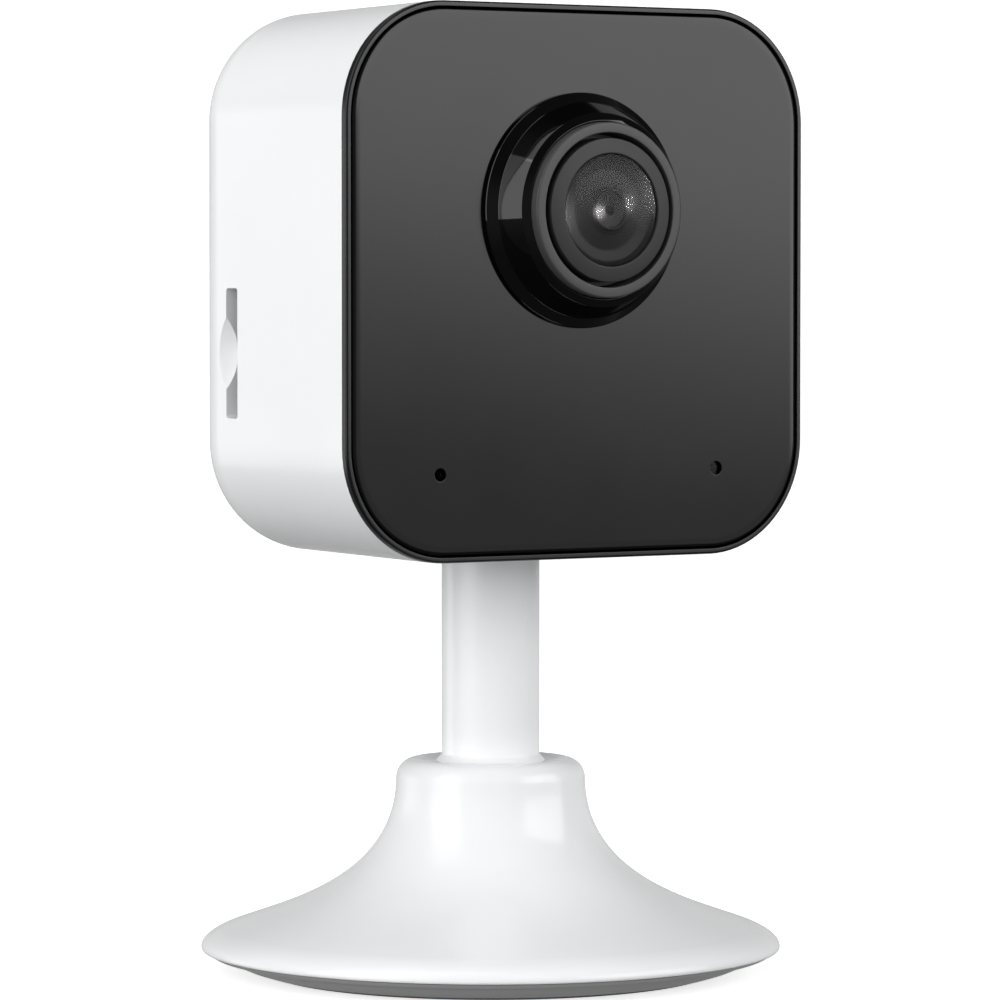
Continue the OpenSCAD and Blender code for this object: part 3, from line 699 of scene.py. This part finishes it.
def box_mm(node: str) -> tuple[Vector, Vector]:
    """Gives a CAD node's corners in millimetres."""
    low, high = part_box(node)
    return low / MM, high / MM


def middle(node: str) -> Vector:
    """Gives the middle of a CAD node's box in millimetres."""
    low, high = box_mm(node)
    return (low + high) / 2


# ------------------------------------------------------------------ head


@dataclass
class Casing:
    """The white rear casing, a drafted square shell with soft corners."""

    corner: float = 12.4
    fillet: float = 8.0
    wall: float = 1.8
    draft: float = 0.0145
    slot_wide: float = 2.4
    slot_high: float = 14.1
    stem_slot_half: float = 5.9
    look_down: float = 25.0
    hole_r: float = 0.65
    hole_pitch: float = 2.6
    scoop_r: float = 7.1
    scoop_off: float = 4.2
    low: Vector = field(default_factory=lambda: box_mm("rear_housing")[0])
    high: Vector = field(default_factory=lambda: box_mm("rear_housing")[1])

    @property
    def half(self) -> float:
        """Half the head's width at the front."""
        return (self.high.x - self.low.x) / 2

    @property
    def centre_z(self) -> float:
        """Height of the head's middle."""
        return (self.low.z + self.high.z) / 2

    def rings(self, inset: float, front: float, back: float, fillet: float) -> list[Ring]:
        """Makes the rings of one skin of the shell, front to back.

        Args:
            inset: how far inside the outer skin.
            front: y of the first ring.
            back: y of the back face.
            fillet: radius of the soft back edge.

        Returns:
            The rings.
        """
        out: list[Ring] = []
        stations = [(front, 0.0)] + [
            (back - fillet + fillet * math.sin(a), fillet * (1 - math.cos(a)))
            for a in (math.pi / 2 * k / 24 for k in range(25))
        ]
        for y, pulled in stations:
            taper = self.draft * (min(y, back - fillet) - self.low.y)
            half = self.half - inset - taper - pulled
            out.append(squircle(half, self.corner - inset - taper - pulled, y, self.centre_z))
        return out

    def build(self) -> None:
        """Builds and dresses the casing."""
        outer = self.rings(0.0, self.low.y, self.high.y, self.fillet)
        inner = self.rings(self.wall, self.low.y, self.high.y - self.wall, self.fillet - self.wall)
        work = bmesh.new()
        made = [[work.verts.new(p) for p in ring] for ring in list(reversed(inner)) + outer]
        for low, high in zip(made, made[1:]):
            for i in range(len(low)):
                j = (i + 1) % len(low)
                work.faces.new((low[i], low[j], high[j], high[i]))
        work.faces.new(made[0])
        work.faces.new(made[-1])
        casing = object_from("rear_casing", work)
        carve(casing, [self.stem_slot(), self.card_slot(), self.scoop()])
        carve(casing, [self.power_opening(), self.button_hole()])
        carve(casing, [self.label_recess()])
        carve(casing, self.speaker_holes())
        ease_edges(casing, 0.16, 3)
        shade(casing)
        dress(casing, WHITE_ABS, "head", "white_gloss", "rear_housing")

    def stem_slot(self) -> bpy.types.Object:
        """Shapes the slot that the stem swings through.

        Returns:
            Its cutter.
        """
        pivot = middle("pivot_screw")
        half = 5.8
        reach = 45.0
        tilt = math.radians(self.look_down)
        front = (-half * math.cos(tilt), half * math.sin(tilt))
        outline = [
            (front[0], front[1]),
            (front[0] - reach * math.sin(tilt), front[1] - reach * math.cos(tilt)),
            (reach, -reach),
            (reach, half),
            (0.0, half),
        ]
        placed = [(u + pivot.y, v + pivot.z) for u, v in outline]
        return prism("cut", placed, -self.stem_slot_half, self.stem_slot_half, along_x)

    def card_slot(self) -> bpy.types.Object:
        """Shapes the memory card slot in the left side.

        Returns:
            Its cutter.
        """
        at = middle("card_socket")
        outline = slab(at.y, at.z, self.slot_wide, self.slot_high, 0.35, 5)
        return prism("cut", outline, self.low.x - 3, self.low.x + 3.4, along_x)

    def scoop(self) -> bpy.types.Object:
        """Shapes the finger scoop behind the card slot.

        Returns:
            Its cutter.
        """
        at = middle("card_socket")
        slot_back = at.y + self.slot_wide / 2
        centre = Vector((self.low.x + 0.35 - self.scoop_off, slot_back - self.scoop_off, at.z))
        work = bmesh.new()
        bmesh.ops.create_uvsphere(work, u_segments=128, v_segments=96, radius=self.scoop_r)
        bmesh.ops.translate(work, vec=centre, verts=work.verts)
        ball = object_from("cut", work)
        outline = slab(slot_back + 1.2, at.z, 4.7, 13.0, 0.01, 1)
        carve(ball, [prism("keep", outline, self.low.x - 8, self.low.x + 2.6, along_x)], "INTERSECT")
        return ball

    def power_opening(self) -> bpy.types.Object:
        """Cutter of the power socket's opening."""
        at = middle("power_socket")
        return prism("cut", slab(at.x, at.z, 9.0, 3.8, 1.89, 12), self.high.y - 3, self.high.y + 3, along_y)

    def button_hole(self) -> bpy.types.Object:
        """Cutter of the reset button's hole."""
        at = middle("reset_button")
        return prism("cut", disc(at.x, at.z, 2.08, 64), self.high.y - 3, self.high.y + 3, along_y)

    def label_recess(self) -> bpy.types.Object:
        """Cutter of the shallow recess under the label."""
        at = middle("rating_label")
        return prism("cut", slab(at.x, at.z, 16.0, 6.0, 0.5), self.high.y - 0.15, self.high.y + 2, along_y)

    def speaker_holes(self) -> list[bpy.types.Object]:
        """Shapes the speaker grille, a hexagon of round holes.

        Returns:
            One cutter that holds every hole.
        """
        at = middle("speaker")
        cutters = []
        for row in range(-3, 4):
            for col in range(-3, 4):
                if abs(row + col) > 3:
                    continue
                x = at.x + self.hole_pitch * (col + row / 2)
                z = at.z + self.hole_pitch * 0.866 * row
                hole = disc(x, z, self.hole_r, 24)
                cutters.append(prism("cut", hole, self.high.y - 3, self.high.y + 3, along_y))
        first = cutters[0]
        with bpy.context.temp_override(active_object=first, selected_editable_objects=cutters):
            bpy.ops.object.join()
        return [first]


@dataclass
class Face:
    """The black frame and the glossy panel that it carries."""

    corner: float = 12.4
    gap: float = 0.25
    wall: float = 1.8
    skirt_in: float = 1.95
    skirt_thick: float = 1.15
    skirt_deep: float = 3.45
    plate_front: float = 0.4
    plate_back: float = 1.6
    lamp_count: int = 8
    lamp_hole_r: float = 2.5
    small_hole_r: float = 1.1

    def build(self) -> None:
        """Builds and dresses the frame and the panel."""
        low, high = box_mm("rear_housing")
        self.centre_z = (low.z + high.z) / 2
        self.half = (high.x - low.x) / 2
        self.front = low.y
        self.rim_out = low.y - box_mm("front_frame")[0].y
        self.inset = self.half - box_mm("front_panel")[1].x
        self.frame_ring()
        self.panel()

    def frame_ring(self) -> None:
        """Builds the black frame: a rim round the panel, a plate behind it and a skirt inside the casing."""
        outline = soften(
            [
                (self.inset - self.gap, -self.plate_front),
                (self.inset - self.gap, self.rim_out),
                (0.0, self.rim_out),
                (0.0, 0.0),
                (self.skirt_in, 0.0),
                (self.skirt_in, -self.skirt_deep),
                (self.skirt_in + self.skirt_thick, -self.skirt_deep),
                (self.skirt_in + self.skirt_thick, -self.plate_back),
            ],
            {1: 0.06, 2: 0.55},
            8,
        )
        rings = [squircle(self.half - u, self.corner - u, self.front - v, self.centre_z) for u, v in outline]
        rim = loft("face_frame", rings)
        lens = middle("lens_bezel")
        trim_r = box_mm("lens_trim_ring")[1].x
        holes = [(lens.x, lens.z, trim_r - 2.6, 96)]
        ring = (trim_r + self.half - self.wall - (lens.z - self.centre_z) + 1.5) / 2
        for k in range(self.lamp_count):
            turn = math.tau * (k + 0.5) / self.lamp_count
            holes.append((ring * math.cos(turn), lens.z + ring * math.sin(turn), self.lamp_hole_r, 32))
        for node in ("microphone", "status_lamp"):
            holes.append((middle(node).x, middle(node).z, self.small_hole_r, 24))
        back = self.front + 4
        carve(rim, [prism("cut", disc(x, z, r, n), self.front - 2, back, along_y) for x, z, r, n in holes])
        shade(rim)
        dress(rim, BLACK_ABS, "head", "black_frame", "front_frame")

    def panel(self) -> None:
        """Builds the glossy panel with its lens opening and two small holes."""
        low, high = box_mm("front_panel")
        drop, width = 0.22, 0.95
        half = self.half - self.inset
        corner = self.corner - self.inset
        rings = [squircle(half, corner, high.y, self.centre_z)]
        for k in range(11):
            a = math.pi / 2 * k / 10
            pulled = width * (1 - math.cos(a))
            y = low.y + drop * (1 - math.sin(a))
            rings.append(squircle(half - pulled, corner - pulled, y, self.centre_z))
        panel = loft("face_panel", rings)
        lens = middle("lens_bezel")
        trim_low, trim_high = box_mm("lens_trim_ring")
        hole_r = (trim_high.x - trim_low.x) / 2 - 0.6
        mic = middle("microphone")
        lamp = middle("status_lamp")
        carve(
            panel,
            [
                prism("cut", disc(lens.x, lens.z, hole_r, 128), low.y - 2, high.y + 2, along_y),
                prism("cut", disc(mic.x, mic.z, 0.7, 40), low.y - 2, high.y + 2, along_y),
                prism("cut", disc(lamp.x, lamp.z, 0.75, 40), low.y - 2, high.y + 2, along_y),
            ],
        )
        ease_edges(panel, 0.07, 2, 50.0)
        shade(panel)
        dress(panel, BLACK_ACRYLIC, "head", "black_panel", "front_panel")


@dataclass
class LensStack:
    """Trim ring, bezel, barrel, baffle and glass, all turned about the lens axis."""

    glass_r: float = 6.0
    stop_r: float = 2.0
    axis: Vector = field(default_factory=lambda: middle("lens_bezel"))

    def place(self, radius: float, angle: float, height: float) -> Vector:
        """Places a turned point: height is the distance ahead of the casing's front edge."""
        return Vector((radius * math.cos(angle), self.front - height, self.axis.z + radius * math.sin(angle)))

    def build(self) -> None:
        """Builds and dresses the lens pieces."""
        self.front = box_mm("rear_housing")[0].y
        self.face = self.front - box_mm("front_panel")[0].y
        self.out = self.front - box_mm("lens_bezel")[0].y
        self.trim_r = box_mm("lens_trim_ring")[1].x
        self.bezel_r = box_mm("lens_bezel")[1].x
        self.trim()
        self.bezel()
        self.barrel()
        self.baffle()
        self.glass()

    def trim(self) -> None:
        """Turns the glossy trim ring: a low wall, a shoulder, a long cone and a rolled lip."""
        bore = self.bezel_r + 0.08
        outline = [
            (bore, -0.2),
            (self.trim_r - 0.7, -0.2),
            (self.trim_r - 0.7, self.face),
            (self.trim_r, self.face),
            (self.trim_r, self.face + 0.5),
            (self.trim_r - 1.05, self.face + 1.35),
            (self.bezel_r + 0.95, self.out - 1.45),
            (bore, self.out - 1.0),
        ]
        self.finish("trim_ring", soften(outline, {4: 0.4, 5: 0.3, 6: 0.25, 7: 0.08}, 8), PIANO_BLACK,
                    "black_panel", "lens_trim_ring")

    def bezel(self) -> None:
        """Turns the grey bezel ring with its eased front edges."""
        inner = self.bezel_r - 1.15
        outline = [
            (inner, self.out),
            (self.bezel_r - 0.05, self.out - 0.04),
            (self.bezel_r, self.out - 0.4),
            (self.bezel_r, -0.5),
            (inner, -0.5),
        ]
        self.finish("bezel_ring", soften(outline, {0: 0.12, 1: 0.22, 2: 0.15}), BEZEL_LACQUER,
                    "bezel_grey", "lens_bezel")

    def barrel(self) -> None:
        """Turns the barrel's front, a shallow cone behind a dark thread gap."""
        wide = self.bezel_r - 1.3
        step = wide - 0.32
        r = self.glass_r
        outline = [
            (r, self.out + 0.42),
            (step - 0.14, self.out + 0.12),
            (step - 0.1, self.out - 0.05),
            (step - 0.1, self.out - 2.4),
            (wide, self.out - 2.4),
            (wide, -1.0),
            (r, -1.0),
            (r, -8.0),
            (r - 1, -8.0),
            (r - 1, self.out - 2.6),
            (r - 0.05, self.out - 2.2),
        ]
        self.finish("barrel_front", soften(outline, {0: 0.15, 1: 0.05}), BARREL_DYED,
                    "bezel_grey", "lens_barrel")

    def finish(self, name: str, outline: Sequence[Point2], finish: Finish, slot: str, *nodes: str) -> None:
        """Turns, shades and dresses one piece.

        Args:
            name: the piece's name.
            outline: its closed outline.
            finish: its finish.
            slot: a material slot's name, passed on to dress.
            nodes: the CAD nodes it replaces.
        """
        piece = turned(name, outline, self.place)
        shade(piece, 40.0)
        dress(piece, finish, "head", slot, *nodes)

    def baffle(self) -> None:
        """Turns the hollow behind the glass: a wall, a bowl and the lip of the small stop."""
        r = self.glass_r - 0.08
        s = self.stop_r
        outline = [
            (r, self.out + 0.1),
            (r - 0.45, self.out - 0.3),
            (4.3, self.out - 0.5),
            (2.7, self.out - 0.15),
            (s + 0.25, self.out + 0.05),
            (s + 0.12, self.out + 0.35),
            (s - 0.1, self.out + 0.35),
            (s - 0.2, self.out + 0.05),
            (0.6, self.out - 0.1),
            (0.5, self.out - 1.9),
            (r, self.out - 1.9),
        ]
        self.finish("glass_baffle", soften(outline, {1: 0.4, 2: 1.0, 3: 0.3, 5: 0.08, 6: 0.08}), BAFFLE_BLACK,
                    "black_inner", "lens_baffle")

    def glass(self) -> None:
        """Turns the domed front glass."""
        reach = self.glass_r - 0.08
        bow = 20.0
        edge = self.out + 0.3
        sag = bow - math.sqrt(bow * bow - reach * reach)
        outline: list[Point2] = [(0.0, edge + sag - 0.6), (reach, edge - 0.15), (reach, edge)]
        for k in range(1, 24):
            r = reach * (1 - k / 24)
            outline.append((r, edge + sag - (bow - math.sqrt(bow * bow - r * r))))
        outline.append((0.0, edge + sag))
        piece = turned("front_lens", outline, self.place, around=False)
        shade(piece, 50.0)
        dress(piece, COATED_GLASS, "head", "lens_glass", "front_glass")


@dataclass
class RearFittings:
    """The reset button in the casing's back."""

    radius: float = 2.0

    def build(self) -> None:
        """Builds and dresses the button."""
        low, high = box_mm("reset_button")
        at = middle("reset_button")

        def place(radius: float, angle: float, height: float) -> Vector:
            """Places a turned point about the button's own axis."""
            return Vector((at.x + radius * math.cos(angle), height, at.z + radius * math.sin(angle)))

        outline = soften(
            [(0.0, low.y), (self.radius + 1, low.y), (self.radius + 1, low.y + 1.1),
             (self.radius, low.y + 1.1), (self.radius, high.y), (self.radius * 0.6, high.y - 0.12),
             (0.0, high.y - 0.2)],
            {4: 0.3, 5: 0.6},
        )
        key = turned("reset_key", outline, place, 64, around=False)
        shade(key)
        dress(key, WHITE_ABS, "button", "white_gloss", "reset_button")


# ------------------------------------------------------------------ neck and base


@dataclass
class Neck:
    """The stem: foot collar, post and the knuckle that the head tilts on."""

    radius: float = 5.4
    spigot_r: float = 3.5
    knuckle_r: float = 6.05

    def build(self) -> None:
        """Builds and dresses the stem."""
        low, high = box_mm("stem")
        pivot = middle("pivot_screw")
        foot = box_mm("base_shell")[1].z - 0.35
        outline = soften(
            [(0.0, low.z), (self.spigot_r, low.z), (self.spigot_r, foot), (self.radius + 0.6, foot),
             (self.radius + 0.6, foot + 0.12), (self.radius, foot + 0.8), (self.radius, pivot.z + 1),
             (0.0, pivot.z + 1)],
            {4: 0.1, 5: 0.4},
        )
        post = turned("stem_post", outline, upright, 128, around=False)
        half = (box_mm("friction_washers")[1].x - 0.35)
        barrel = prism("knuckle", disc(pivot.y, pivot.z, self.knuckle_r, 128), -half, half, along_x)
        bore = prism("bore", disc(pivot.y, pivot.z, 1.56, 48), -half - 1, half + 1, along_x)
        carve(post, [barrel], "UNION")
        carve(post, [bore])
        ease_edges(post, 0.15, 3, 50.0)
        shade(post)
        dress(post, WHITE_ABS, "stem", "white_gloss", "stem")


@dataclass
class Base:
    """The flared base: white shell, underside in grey that is painted shade, and rubber foot."""

    wall: float = 2.0
    neck_r: float = 10.45
    neck_round: float = 2.2

    def flare(self, t: float) -> Point2:
        """Gives a point of the flare.

        Args:
            t: 0 at the neck, 1 at the rim.

        Returns:
            (radius, height) in millimetres.
        """
        handles = [
            (self.neck_r, self.top - self.neck_round + 0.1),
            (self.neck_r, self.top * 0.445),
            (self.rim - 9.45, 7.4),
            (self.rim - 3.1, 5.1),
        ]
        weights = [(1 - t) ** 3, 3 * (1 - t) ** 2 * t, 3 * (1 - t) * t * t, t**3]
        return (
            sum(w * h[0] for w, h in zip(weights, handles)),
            sum(w * h[1] for w, h in zip(weights, handles)),
        )

    def build(self) -> None:
        """Builds and dresses the base's three visible pieces."""
        low, high = box_mm("base_shell")
        self.top = high.z
        self.rim = high.x
        self.shell(low.z)
        self.underside()
        self.foot()

    def shell(self, parting: float) -> None:
        """Builds the white bell.

        Args:
            parting: height of its lower edge.
        """
        dip = self.top - 0.4
        outline: list[Point2] = [(3.56, dip), (6.2, dip), (6.9, dip + 0.05), (7.6, self.top - 0.1)]
        for a in range(90, 0, -9):
            turn = math.radians(a)
            outline.append((self.neck_r - self.neck_round + self.neck_round * math.cos(turn),
                            self.top - self.neck_round + self.neck_round * math.sin(turn)))
        outline += [self.flare(k / 40) for k in range(41)]
        start = (self.rim - 3.1, 5.1)
        handles = [start, (self.rim - 1.7, 4.65), (self.rim, 3.8), (self.rim, parting + 0.3)]
        for k in range(1, 13):
            t = k / 12
            weights = [(1 - t) ** 3, 3 * (1 - t) ** 2 * t, 3 * (1 - t) * t * t, t**3]
            across = sum(w * h[0] for w, h in zip(weights, handles))
            outline.append((across, sum(w * h[1] for w, h in zip(weights, handles))))
        outline += [(self.rim - 0.04, parting + 0.12), (self.rim - 0.14, parting + 0.02)]
        outline += [(self.rim - 0.3, parting), (28.2, parting)]
        outline += [(28.0, 3.3), (20.0, 6.3), (13.5, 9.4), (9.2, 14.0), (8.5, 17.0), (3.56, 17.0)]
        shell = turned("base_bell", outline, upright, 192)
        shade(shell, 45.0)
        dress(shell, WHITE_ABS, "base", "white_gloss", "base_shell")

    def underside(self) -> None:
        """Builds the cover, tapered down to the foot, in grey that is painted shade on white plastic."""
        low, high = box_mm("base_cover")
        foot_high = box_mm("base_foot")[1]
        foot_r = foot_high.x + 0.1
        r = self.rim
        outline = soften(
            [(0.0, foot_high.z), (foot_r, foot_high.z), (foot_r, low.z), (r - 6, low.z), (r - 4.6, 0.78),
             (r - 2.6, 1.63), (r - 1.1, 2.05), (r - 0.3, high.z), (0.0, high.z)],
            {2: 0.15, 3: 0.3, 4: 1.0, 5: 1.0, 6: 0.8},
        )
        cover = turned("base_underside", outline, upright, 192, around=False)
        shade(cover, 45.0)
        # The underside's grey finish is painted shade on the white plastic.
        dress(cover, PAINTED_SHADE_ABS, "base", "grey_plastic", "base_cover")

    def foot(self) -> None:
        """Builds the rubber foot with its concentric grip rings."""
        low, high = box_mm("base_foot")
        radius = high.x
        outline: list[Point2] = [(0.0, high.z), (radius, high.z)]
        outline += [(radius, low.z + 0.15), (radius - 0.15, low.z)]
        groove = radius - 1.6
        while groove > 3.0:
            outline += [(groove + 0.5, low.z), (groove + 0.35, low.z + 0.25)]
            outline += [(groove - 0.35, low.z + 0.25), (groove - 0.5, low.z)]
            groove -= 2.4
        outline.append((0.0, low.z))
        foot = turned("base_pad", outline, upright, 160, around=False)
        shade(foot, 45.0)
        dress(foot, FOOT_RUBBER, "base", "foot_rubber", "base_foot")


@dataclass
class Innards:
    """The pieces inside, which keep their CAD shapes."""

    def build(self) -> None:
        """Gives every carried-over node its finish."""
        for name, finish in NODE_FINISHES.items():
            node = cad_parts[name]
            node.data.materials.clear()
            node.data.materials.append(finish.material())
            LOG.info("%s keeps its shape, %s", name, finish.name)


# ------------------------------------------------------------------ studio


@dataclass(frozen=True)
class Softbox:
    """One studio light: place and aim in millimetres, glow as its radiance.

    A light whose last field names a piece lights nothing else, so its spot stays off the glossy face.
    """

    name: str
    place: tuple[float, float, float]
    wide: float
    high: float
    glow: float
    aim: tuple[float, float, float] = (0.0, 0.0, 70.0)
    mirrored: bool = True
    round: bool = False
    only: str = ""


SOFTBOXES = (
    Softbox("left_wall", (-800, 0, 480), 560, 1000, 1.9, aim=(0, 0, 480)),
    Softbox("left_roof", (-400, 60, 1080), 560, 900, 1.15),
    Softbox("back_left", (-520, 775, 20), 420, 380, 1.0, aim=(0, 0, 20)),
    Softbox("round_lamp", (302, -747, 76), 74, 74, 120.0, round=True, only="front_lens"),
    Softbox("strip_lamp", (556, -574, 142), 50, 84, 80.0, only="front_lens"),
    Softbox("left_fill", (-1500, -500, 400), 1500, 1500, 2.2, mirrored=False),
    Softbox("front_fill", (-400, -1500, 500), 1500, 1500, 0.85, mirrored=False),
    Softbox("right_fill", (1500, -200, 300), 1500, 1500, 0.75, mirrored=False),
    Softbox("top_fill", (0, 0, 1700), 1500, 1500, 0.5, mirrored=False),
    Softbox("low_fill", (-300, -300, -1500), 1500, 1500, 0.45, mirrored=False),
)


@dataclass
class Studio:
    """Camera, floor, backdrop and soft lights."""

    eye_mm: tuple[float, float, float] = (-326.7, -488.2, 77.4)
    gaze: tuple[float, float, float] = (0.5571, 0.8293, -0.0431)
    lens_mm: float = 191.8

    def build(self) -> None:
        """Sets the whole studio."""
        bpy.context.scene.view_settings.view_transform = "Standard"
        self.camera()
        self.floor()
        self.world()
        self.lights()

    def camera(self) -> None:
        """Places the camera, a long lens at the height of the head."""
        data = bpy.data.cameras.new("camera")
        data.sensor_width = 36.0
        data.lens = self.lens_mm
        data.clip_start = 0.01
        data.clip_end = 50.0
        camera = bpy.data.objects.new("camera", data)
        camera.location = Vector(self.eye_mm) * MM
        camera.rotation_euler = Vector(self.gaze).to_track_quat("-Z", "Y").to_euler()
        bpy.context.scene.collection.objects.link(camera)
        bpy.context.scene.camera = camera

    def floor(self) -> None:
        """Lays the plain pale sweep: a round floor that curves up into a wall on every side."""
        path = [(1.0, 0.0), (700.0, 0.0)]
        curve = [math.pi / 2 * k / 24 for k in range(1, 25)]
        path += [(700 + 600 * math.sin(a), 600 - 600 * math.cos(a)) for a in curve]
        path.append((1300.0, 4000.0))
        turns = [math.tau * k / 96 for k in range(96)]
        work = bmesh.new()
        rows = [[work.verts.new((u * math.cos(t), u * math.sin(t), v)) for t in turns] for u, v in path]
        work.faces.new(rows[0])
        for low, high in zip(rows, rows[1:]):
            for k in range(len(turns)):
                work.faces.new((low[k - 1], low[k], high[k], high[k - 1]))
        sweep = object_from("sweep", work)
        sweep.data.shade_smooth()
        made = bpy.data.materials.new("pale_sweep")
        made.use_nodes = True
        shader = made.node_tree.nodes["Principled BSDF"]
        shader.inputs["Base Color"].default_value = linear("#f6f6f6")
        shader.inputs["Roughness"].default_value = 0.9
        shader.inputs["Specular IOR Level"].default_value = 0.0
        shader.inputs["Emission Color"].default_value = (1, 1, 1, 1)
        shader.inputs["Emission Strength"].default_value = 0.64
        sweep.data.materials.append(made)
        sweep.visible_diffuse = False
        sweep.visible_glossy = False
        sweep.visible_transmission = False
        sweep.visible_shadow = False

    def world(self) -> None:
        """Makes a dim room that is lighter straight behind the part, and dimmer overhead and below."""
        world = bpy.data.worlds.new("studio")
        bpy.context.scene.world = world
        world.use_nodes = True
        tree = world.node_tree
        tree.nodes.clear()
        coords = add(tree, "ShaderNodeTexCoord").outputs["Generated"]
        behind = self.slope(tree, coords, (0.557, 0.829, 0.0), 0.2, 0.95, 0.14, 0.55)
        upward = self.slope(tree, coords, (0.0, 0.0, 1.0), 0.1, 0.45, 1.0, 0.35)
        below = self.slope(tree, coords, (0.0, 0.0, -1.0), 0.1, 0.5, 1.0, 0.45)
        shaped = add(tree, "ShaderNodeMath", None, {0: behind, 1: upward}, operation="MULTIPLY")
        level = shaped.outputs["Value"]
        power = add(tree, "ShaderNodeMath", None, {0: level, 1: below}, operation="MULTIPLY")
        sky = add(tree, "ShaderNodeBackground", {"Color": (1, 1, 1, 1)}, {"Strength": power.outputs["Value"]})
        add(tree, "ShaderNodeOutputWorld", None, {"Surface": sky.outputs["Background"]})

    def slope(
        self,
        tree: bpy.types.NodeTree,
        coords: bpy.types.NodeSocket,
        towards: tuple[float, float, float],
        start: float,
        end: float,
        low: float,
        high: float,
    ) -> bpy.types.NodeSocket:
        """Makes a soft ramp of brightness over the sky.

        Args:
            tree: the world's tree.
            coords: the direction looked in.
            towards: the direction of the ramp's end.
            start: cosine where the ramp starts.
            end: cosine where it ends.
            low: brightness at the start.
            high: brightness at the end.

        Returns:
            The brightness.
        """
        facing = add(tree, "ShaderNodeVectorMath", None, {0: coords}, operation="DOT_PRODUCT")
        facing.inputs[1].default_value = Vector(towards).normalized()
        ramp = add(
            tree,
            "ShaderNodeMapRange",
            {"From Min": start, "From Max": end, "To Min": low, "To Max": high},
            {"Value": facing.outputs["Value"]},
            interpolation_type="SMOOTHSTEP",
        )
        return ramp.outputs["Result"]

    def lights(self) -> None:
        """Hangs softboxes that the glossy parts mirror, fills that they don't, and the glow card."""
        for box in SOFTBOXES:
            self.softbox(box)
        self.card()

    def softbox(self, box: Softbox) -> None:
        """Hangs one light.

        Args:
            box: what it is and where it hangs.
        """
        data = bpy.data.lights.new(box.name, "AREA")
        data.shape = "ELLIPSE" if box.round else "RECTANGLE"
        data.size = box.wide * MM
        data.size_y = box.high * MM
        area = box.wide * box.high * MM * MM * (math.pi / 4 if box.round else 1.0)
        data.energy = box.glow * math.pi * area
        light = bpy.data.objects.new(box.name, data)
        light.location = Vector(box.place) * MM
        aim = Vector(box.aim) - Vector(box.place)
        light.rotation_euler = aim.to_track_quat("-Z", "Y").to_euler()
        light.visible_glossy = box.mirrored
        if box.only:
            light.light_linking.receiver_collection = bpy.data.collections.new(box.name)
            light.light_linking.receiver_collection.objects.link(bpy.data.objects[box.only])
        bpy.context.scene.collection.objects.link(light)

    def card(self) -> None:
        """Stands a glowing card on the right, brighter towards its top, for the face to mirror."""
        side = Vector((0.829, 0.557, 0.0)) * 420
        middle_point = Vector((0.557, -0.829, 0.0)) * 850
        work = bmesh.new()
        verts = [work.verts.new(middle_point + side * s + Vector((0, 0, z)))
                 for s, z in ((-1, -300), (1, -300), (1, 760), (-1, 760))]
        work.faces.new(verts)
        card = object_from("glow_card", work)
        made = bpy.data.materials.new("glow_card")
        made.use_nodes = True
        tree = made.node_tree
        tree.nodes.clear()
        coords = add(tree, "ShaderNodeTexCoord")
        split = add(tree, "ShaderNodeSeparateXYZ", None, {"Vector": coords.outputs["Object"]})
        tilted = add(tree, "ShaderNodeMath", {1: 0.22}, {0: split.outputs["X"], 2: split.outputs["Z"]},
                     operation="MULTIPLY_ADD")
        glow = add(
            tree,
            "ShaderNodeMapRange",
            {"From Min": 0.117, "From Max": 0.237, "To Min": 0.5, "To Max": 2.7},
            {"Value": tilted.outputs["Value"]},
            interpolation_type="SMOOTHSTEP",
        )
        light = add(tree, "ShaderNodeEmission", None, {"Strength": glow.outputs["Result"]})
        add(tree, "ShaderNodeOutputMaterial", None, {"Surface": light.outputs["Emission"]})
        card.data.materials.append(made)
        card.visible_camera = False


def main() -> None:
    """Builds every sub-assembly in order."""
    logging.basicConfig(level=logging.INFO, format="%(message)s")
    for assembly in (Base(), Neck(), Casing(), Face(), LensStack(), RearFittings(), Innards(), Studio()):
        LOG.info("building %s", type(assembly).__name__)
        assembly.build()


if __name__ == "__main__":
    main()
